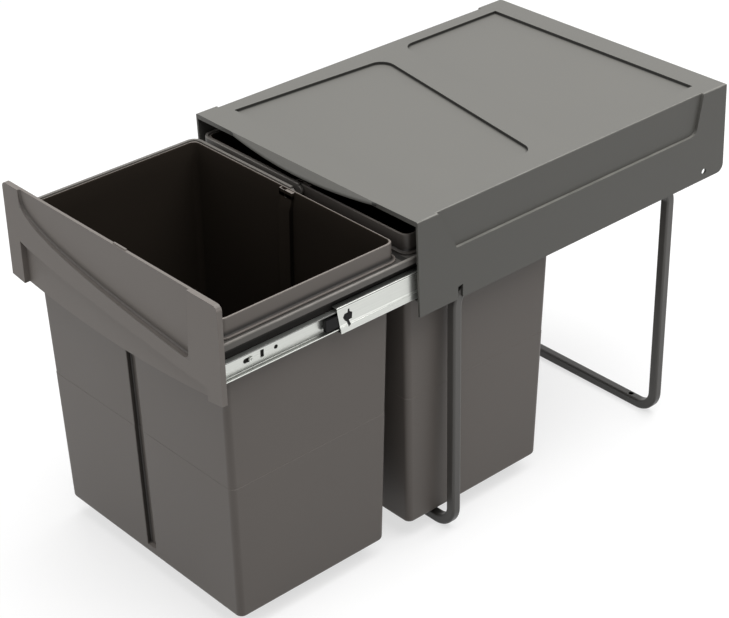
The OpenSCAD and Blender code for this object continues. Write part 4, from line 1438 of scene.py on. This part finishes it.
    def add_boss(self, bm: BMesh, mask: Layer, y: float, wall_y: float, rim: float) -> None:
        """Add the boss inside the rim that a handle's pin turns in, with a slot open at its top.

        Args:
            bm: The bin's mesh.
            mask: Its edge marks.
            y: Place of the bin's middle.
            wall_y: Place of the end wall's inner face, from the bin's middle.
            rim: Height of the rim.
        """
        half = self.boss_half
        into = -math.copysign(1.0, wall_y)
        root, lip, face = (y + wall_y + into * depth for depth in (-0.6, self.boss_in - 0.9, self.boss_in))
        low, floor, top = rim - self.boss_low, rim - 3.2, rim - 0.4
        for left, right, back, height in ((-half, half, root, floor), (-half, -1.0, lip, top),
                                          (-half, 1.6 - half, root, top), (-1.0, half, root, top)):
            corner = Vector((left, min(back, face), low)) * MM
            size = Vector((right - left, abs(face - back), height - low)) * MM
            turn = Matrix.Translation(corner + size / 2.0) @ Matrix.Diagonal(size).to_4x4()
            made = bmesh.ops.create_cube(bm, size=1.0, matrix=turn)
            edges = {edge for vert in made["verts"] for edge in vert.link_edges}
            rounded = bmesh.ops.bevel(bm, geom=list(edges), offset=self.boss_edge * MM, offset_type="OFFSET",
                                      segments=2, profile=0.5, affect="EDGES", clamp_overlap=True)
            marked = set(rounded["faces"])
            for side in {side for vert in rounded["verts"] for side in vert.link_faces}:
                # The boss's upward faces keep the bin plastic, its other faces take the painted-shade copy,
                # and its rounding carries painted highlight.
                side.material_index = 0 if side.normal.z > 0.5 else 1
                for loop in side.loops:
                    loop[mask] = (1.0 if side in marked else 0.0, 0.0, 0.0, 1.0)

    def build(self) -> None:
        """Build both bins."""
        self.build_bin("front")
        self.build_bin("rear")


@dataclass
class Studio:
    """The floor, the soft light and the camera."""

    focal: float = 98.36
    azimuth: float = 48.599
    elevation: float = 30.61
    roll: float = -1.217
    place: tuple[float, float, float] = (1.216695, -1.194199, 1.130093)
    target: tuple[float, float, float] = (0.0, -0.1, 0.2)
    sky: float = 0.26
    over_power: float = 62.0
    front_power: float = 8.0
    floor_half: float = 5.0
    floor_level: float = -0.0004
    floor_tone: float = 0.36
    floor_glow: float = 0.66

    def seen(self, desk: Desk) -> Socket:
        """Tell whether a ray shows the background: straight, in a reflection or through something."""
        path = desk.put("ShaderNodeLightPath").outputs
        direct = desk.calc("MAXIMUM", path["Is Camera Ray"], path["Is Glossy Ray"])
        return desk.calc("MAXIMUM", direct, path["Is Transmission Ray"])

    def floor(self) -> None:
        """A wide pale floor that keeps the object's shadow."""
        mesh = bpy.data.meshes.new("studio_floor")
        half = self.floor_half
        corners = ((-half, -half), (half, -half), (half, half), (-half, half))
        mesh.from_pydata([(x, y, self.floor_level) for x, y in corners], [], [(0, 1, 2, 3)])
        obj = add_object("studio_floor", mesh)
        material = bpy.data.materials.new("studio_floor_matt")
        material.use_nodes = True
        desk = Desk(material.node_tree)
        tone = self.floor_tone
        desk.feed(desk.shader(), {
            "Roughness": 0.9, "Specular IOR Level": 0.1, "Base Color": (tone, tone, tone, 1.0),
            "Emission Color": WHITE,
            "Emission Strength": desk.calc("MULTIPLY", self.seen(desk), self.floor_glow)})
        mesh.materials.append(material)

    def world(self) -> None:
        """A plain sky that is white to the camera and in reflections."""
        world = bpy.data.worlds.new("studio_sky")
        bpy.context.scene.world = world
        world.use_nodes = True
        desk = Desk(world.node_tree)
        desk.tree.nodes.clear()
        light, white = (desk.put("ShaderNodeBackground", {"Color": WHITE, "Strength": strength})
                        for strength in (self.sky, 1.0))
        mix = desk.put("ShaderNodeMixShader", {"Fac": self.seen(desk), 1: light.outputs["Background"],
                                               2: white.outputs["Background"]})
        desk.put("ShaderNodeOutputWorld", {"Surface": mix.outputs["Shader"]})

    def lamp(self, name: str, place: tuple[float, float, float], size: float, power: float) -> None:
        """Hang one soft square lamp that faces the object.

        Args:
            name: The lamp's name.
            place: Where it hangs.
            size: Its side.
            power: Its power in watts.
        """
        data = bpy.data.lights.new(name, "AREA")
        data.shape = "SQUARE"
        data.size = size
        data.energy = power
        obj = add_object(name, data)
        obj.location = place
        obj.rotation_euler = (Vector(place) - Vector(self.target)).to_track_quat("Z", "Y").to_euler()

    def camera(self) -> None:
        """Set the camera at the photograph's angle."""
        a, e, r = (math.radians(angle) for angle in (self.azimuth, self.elevation, self.roll))
        back = Vector((math.sin(a) * math.cos(e), -math.cos(a) * math.cos(e), math.sin(e)))
        right = Vector((math.cos(a), math.sin(a), 0.0))
        up = back.cross(right)
        rolled_right = right * math.cos(r) + up * math.sin(r)
        rolled_up = up * math.cos(r) - right * math.sin(r)
        data = bpy.data.cameras.new("photo_camera")
        data.lens = self.focal
        data.sensor_width = 36.0
        obj = add_object("photo_camera", data)
        turn = Matrix((rolled_right, rolled_up, back)).transposed()
        obj.matrix_world = Matrix.Translation(self.place) @ turn.to_4x4()
        bpy.context.scene.camera = obj

    def build(self) -> None:
        """Set up floor, sky, lamps and camera."""
        bpy.context.scene.view_settings.view_transform = "Standard"
        self.floor()
        self.world()
        self.lamp("over_softbox", (0.2, 0.15, 1.9), 2.2, self.over_power)
        self.lamp("front_softbox", (-0.9, -2.0, 1.0), 1.6, self.front_power)
        self.camera()


def main() -> None:
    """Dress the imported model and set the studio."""
    logging.basicConfig(level=logging.INFO, format="%(message)s")
    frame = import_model()
    shop = GroupShop()
    shop.build()
    bench = Bench(frame, FinishShelf(shop))
    for assembly in (CoverAssembly(bench), FrameAssembly(bench), SlideAssembly(bench), HardwareTrees(bench),
                     DrawerAssembly(bench), BinAssembly(bench), Studio()):
        assembly.build()
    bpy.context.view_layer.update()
    LOG.info("%d pieces", bench.count)


if __name__ == "__main__":
    main()
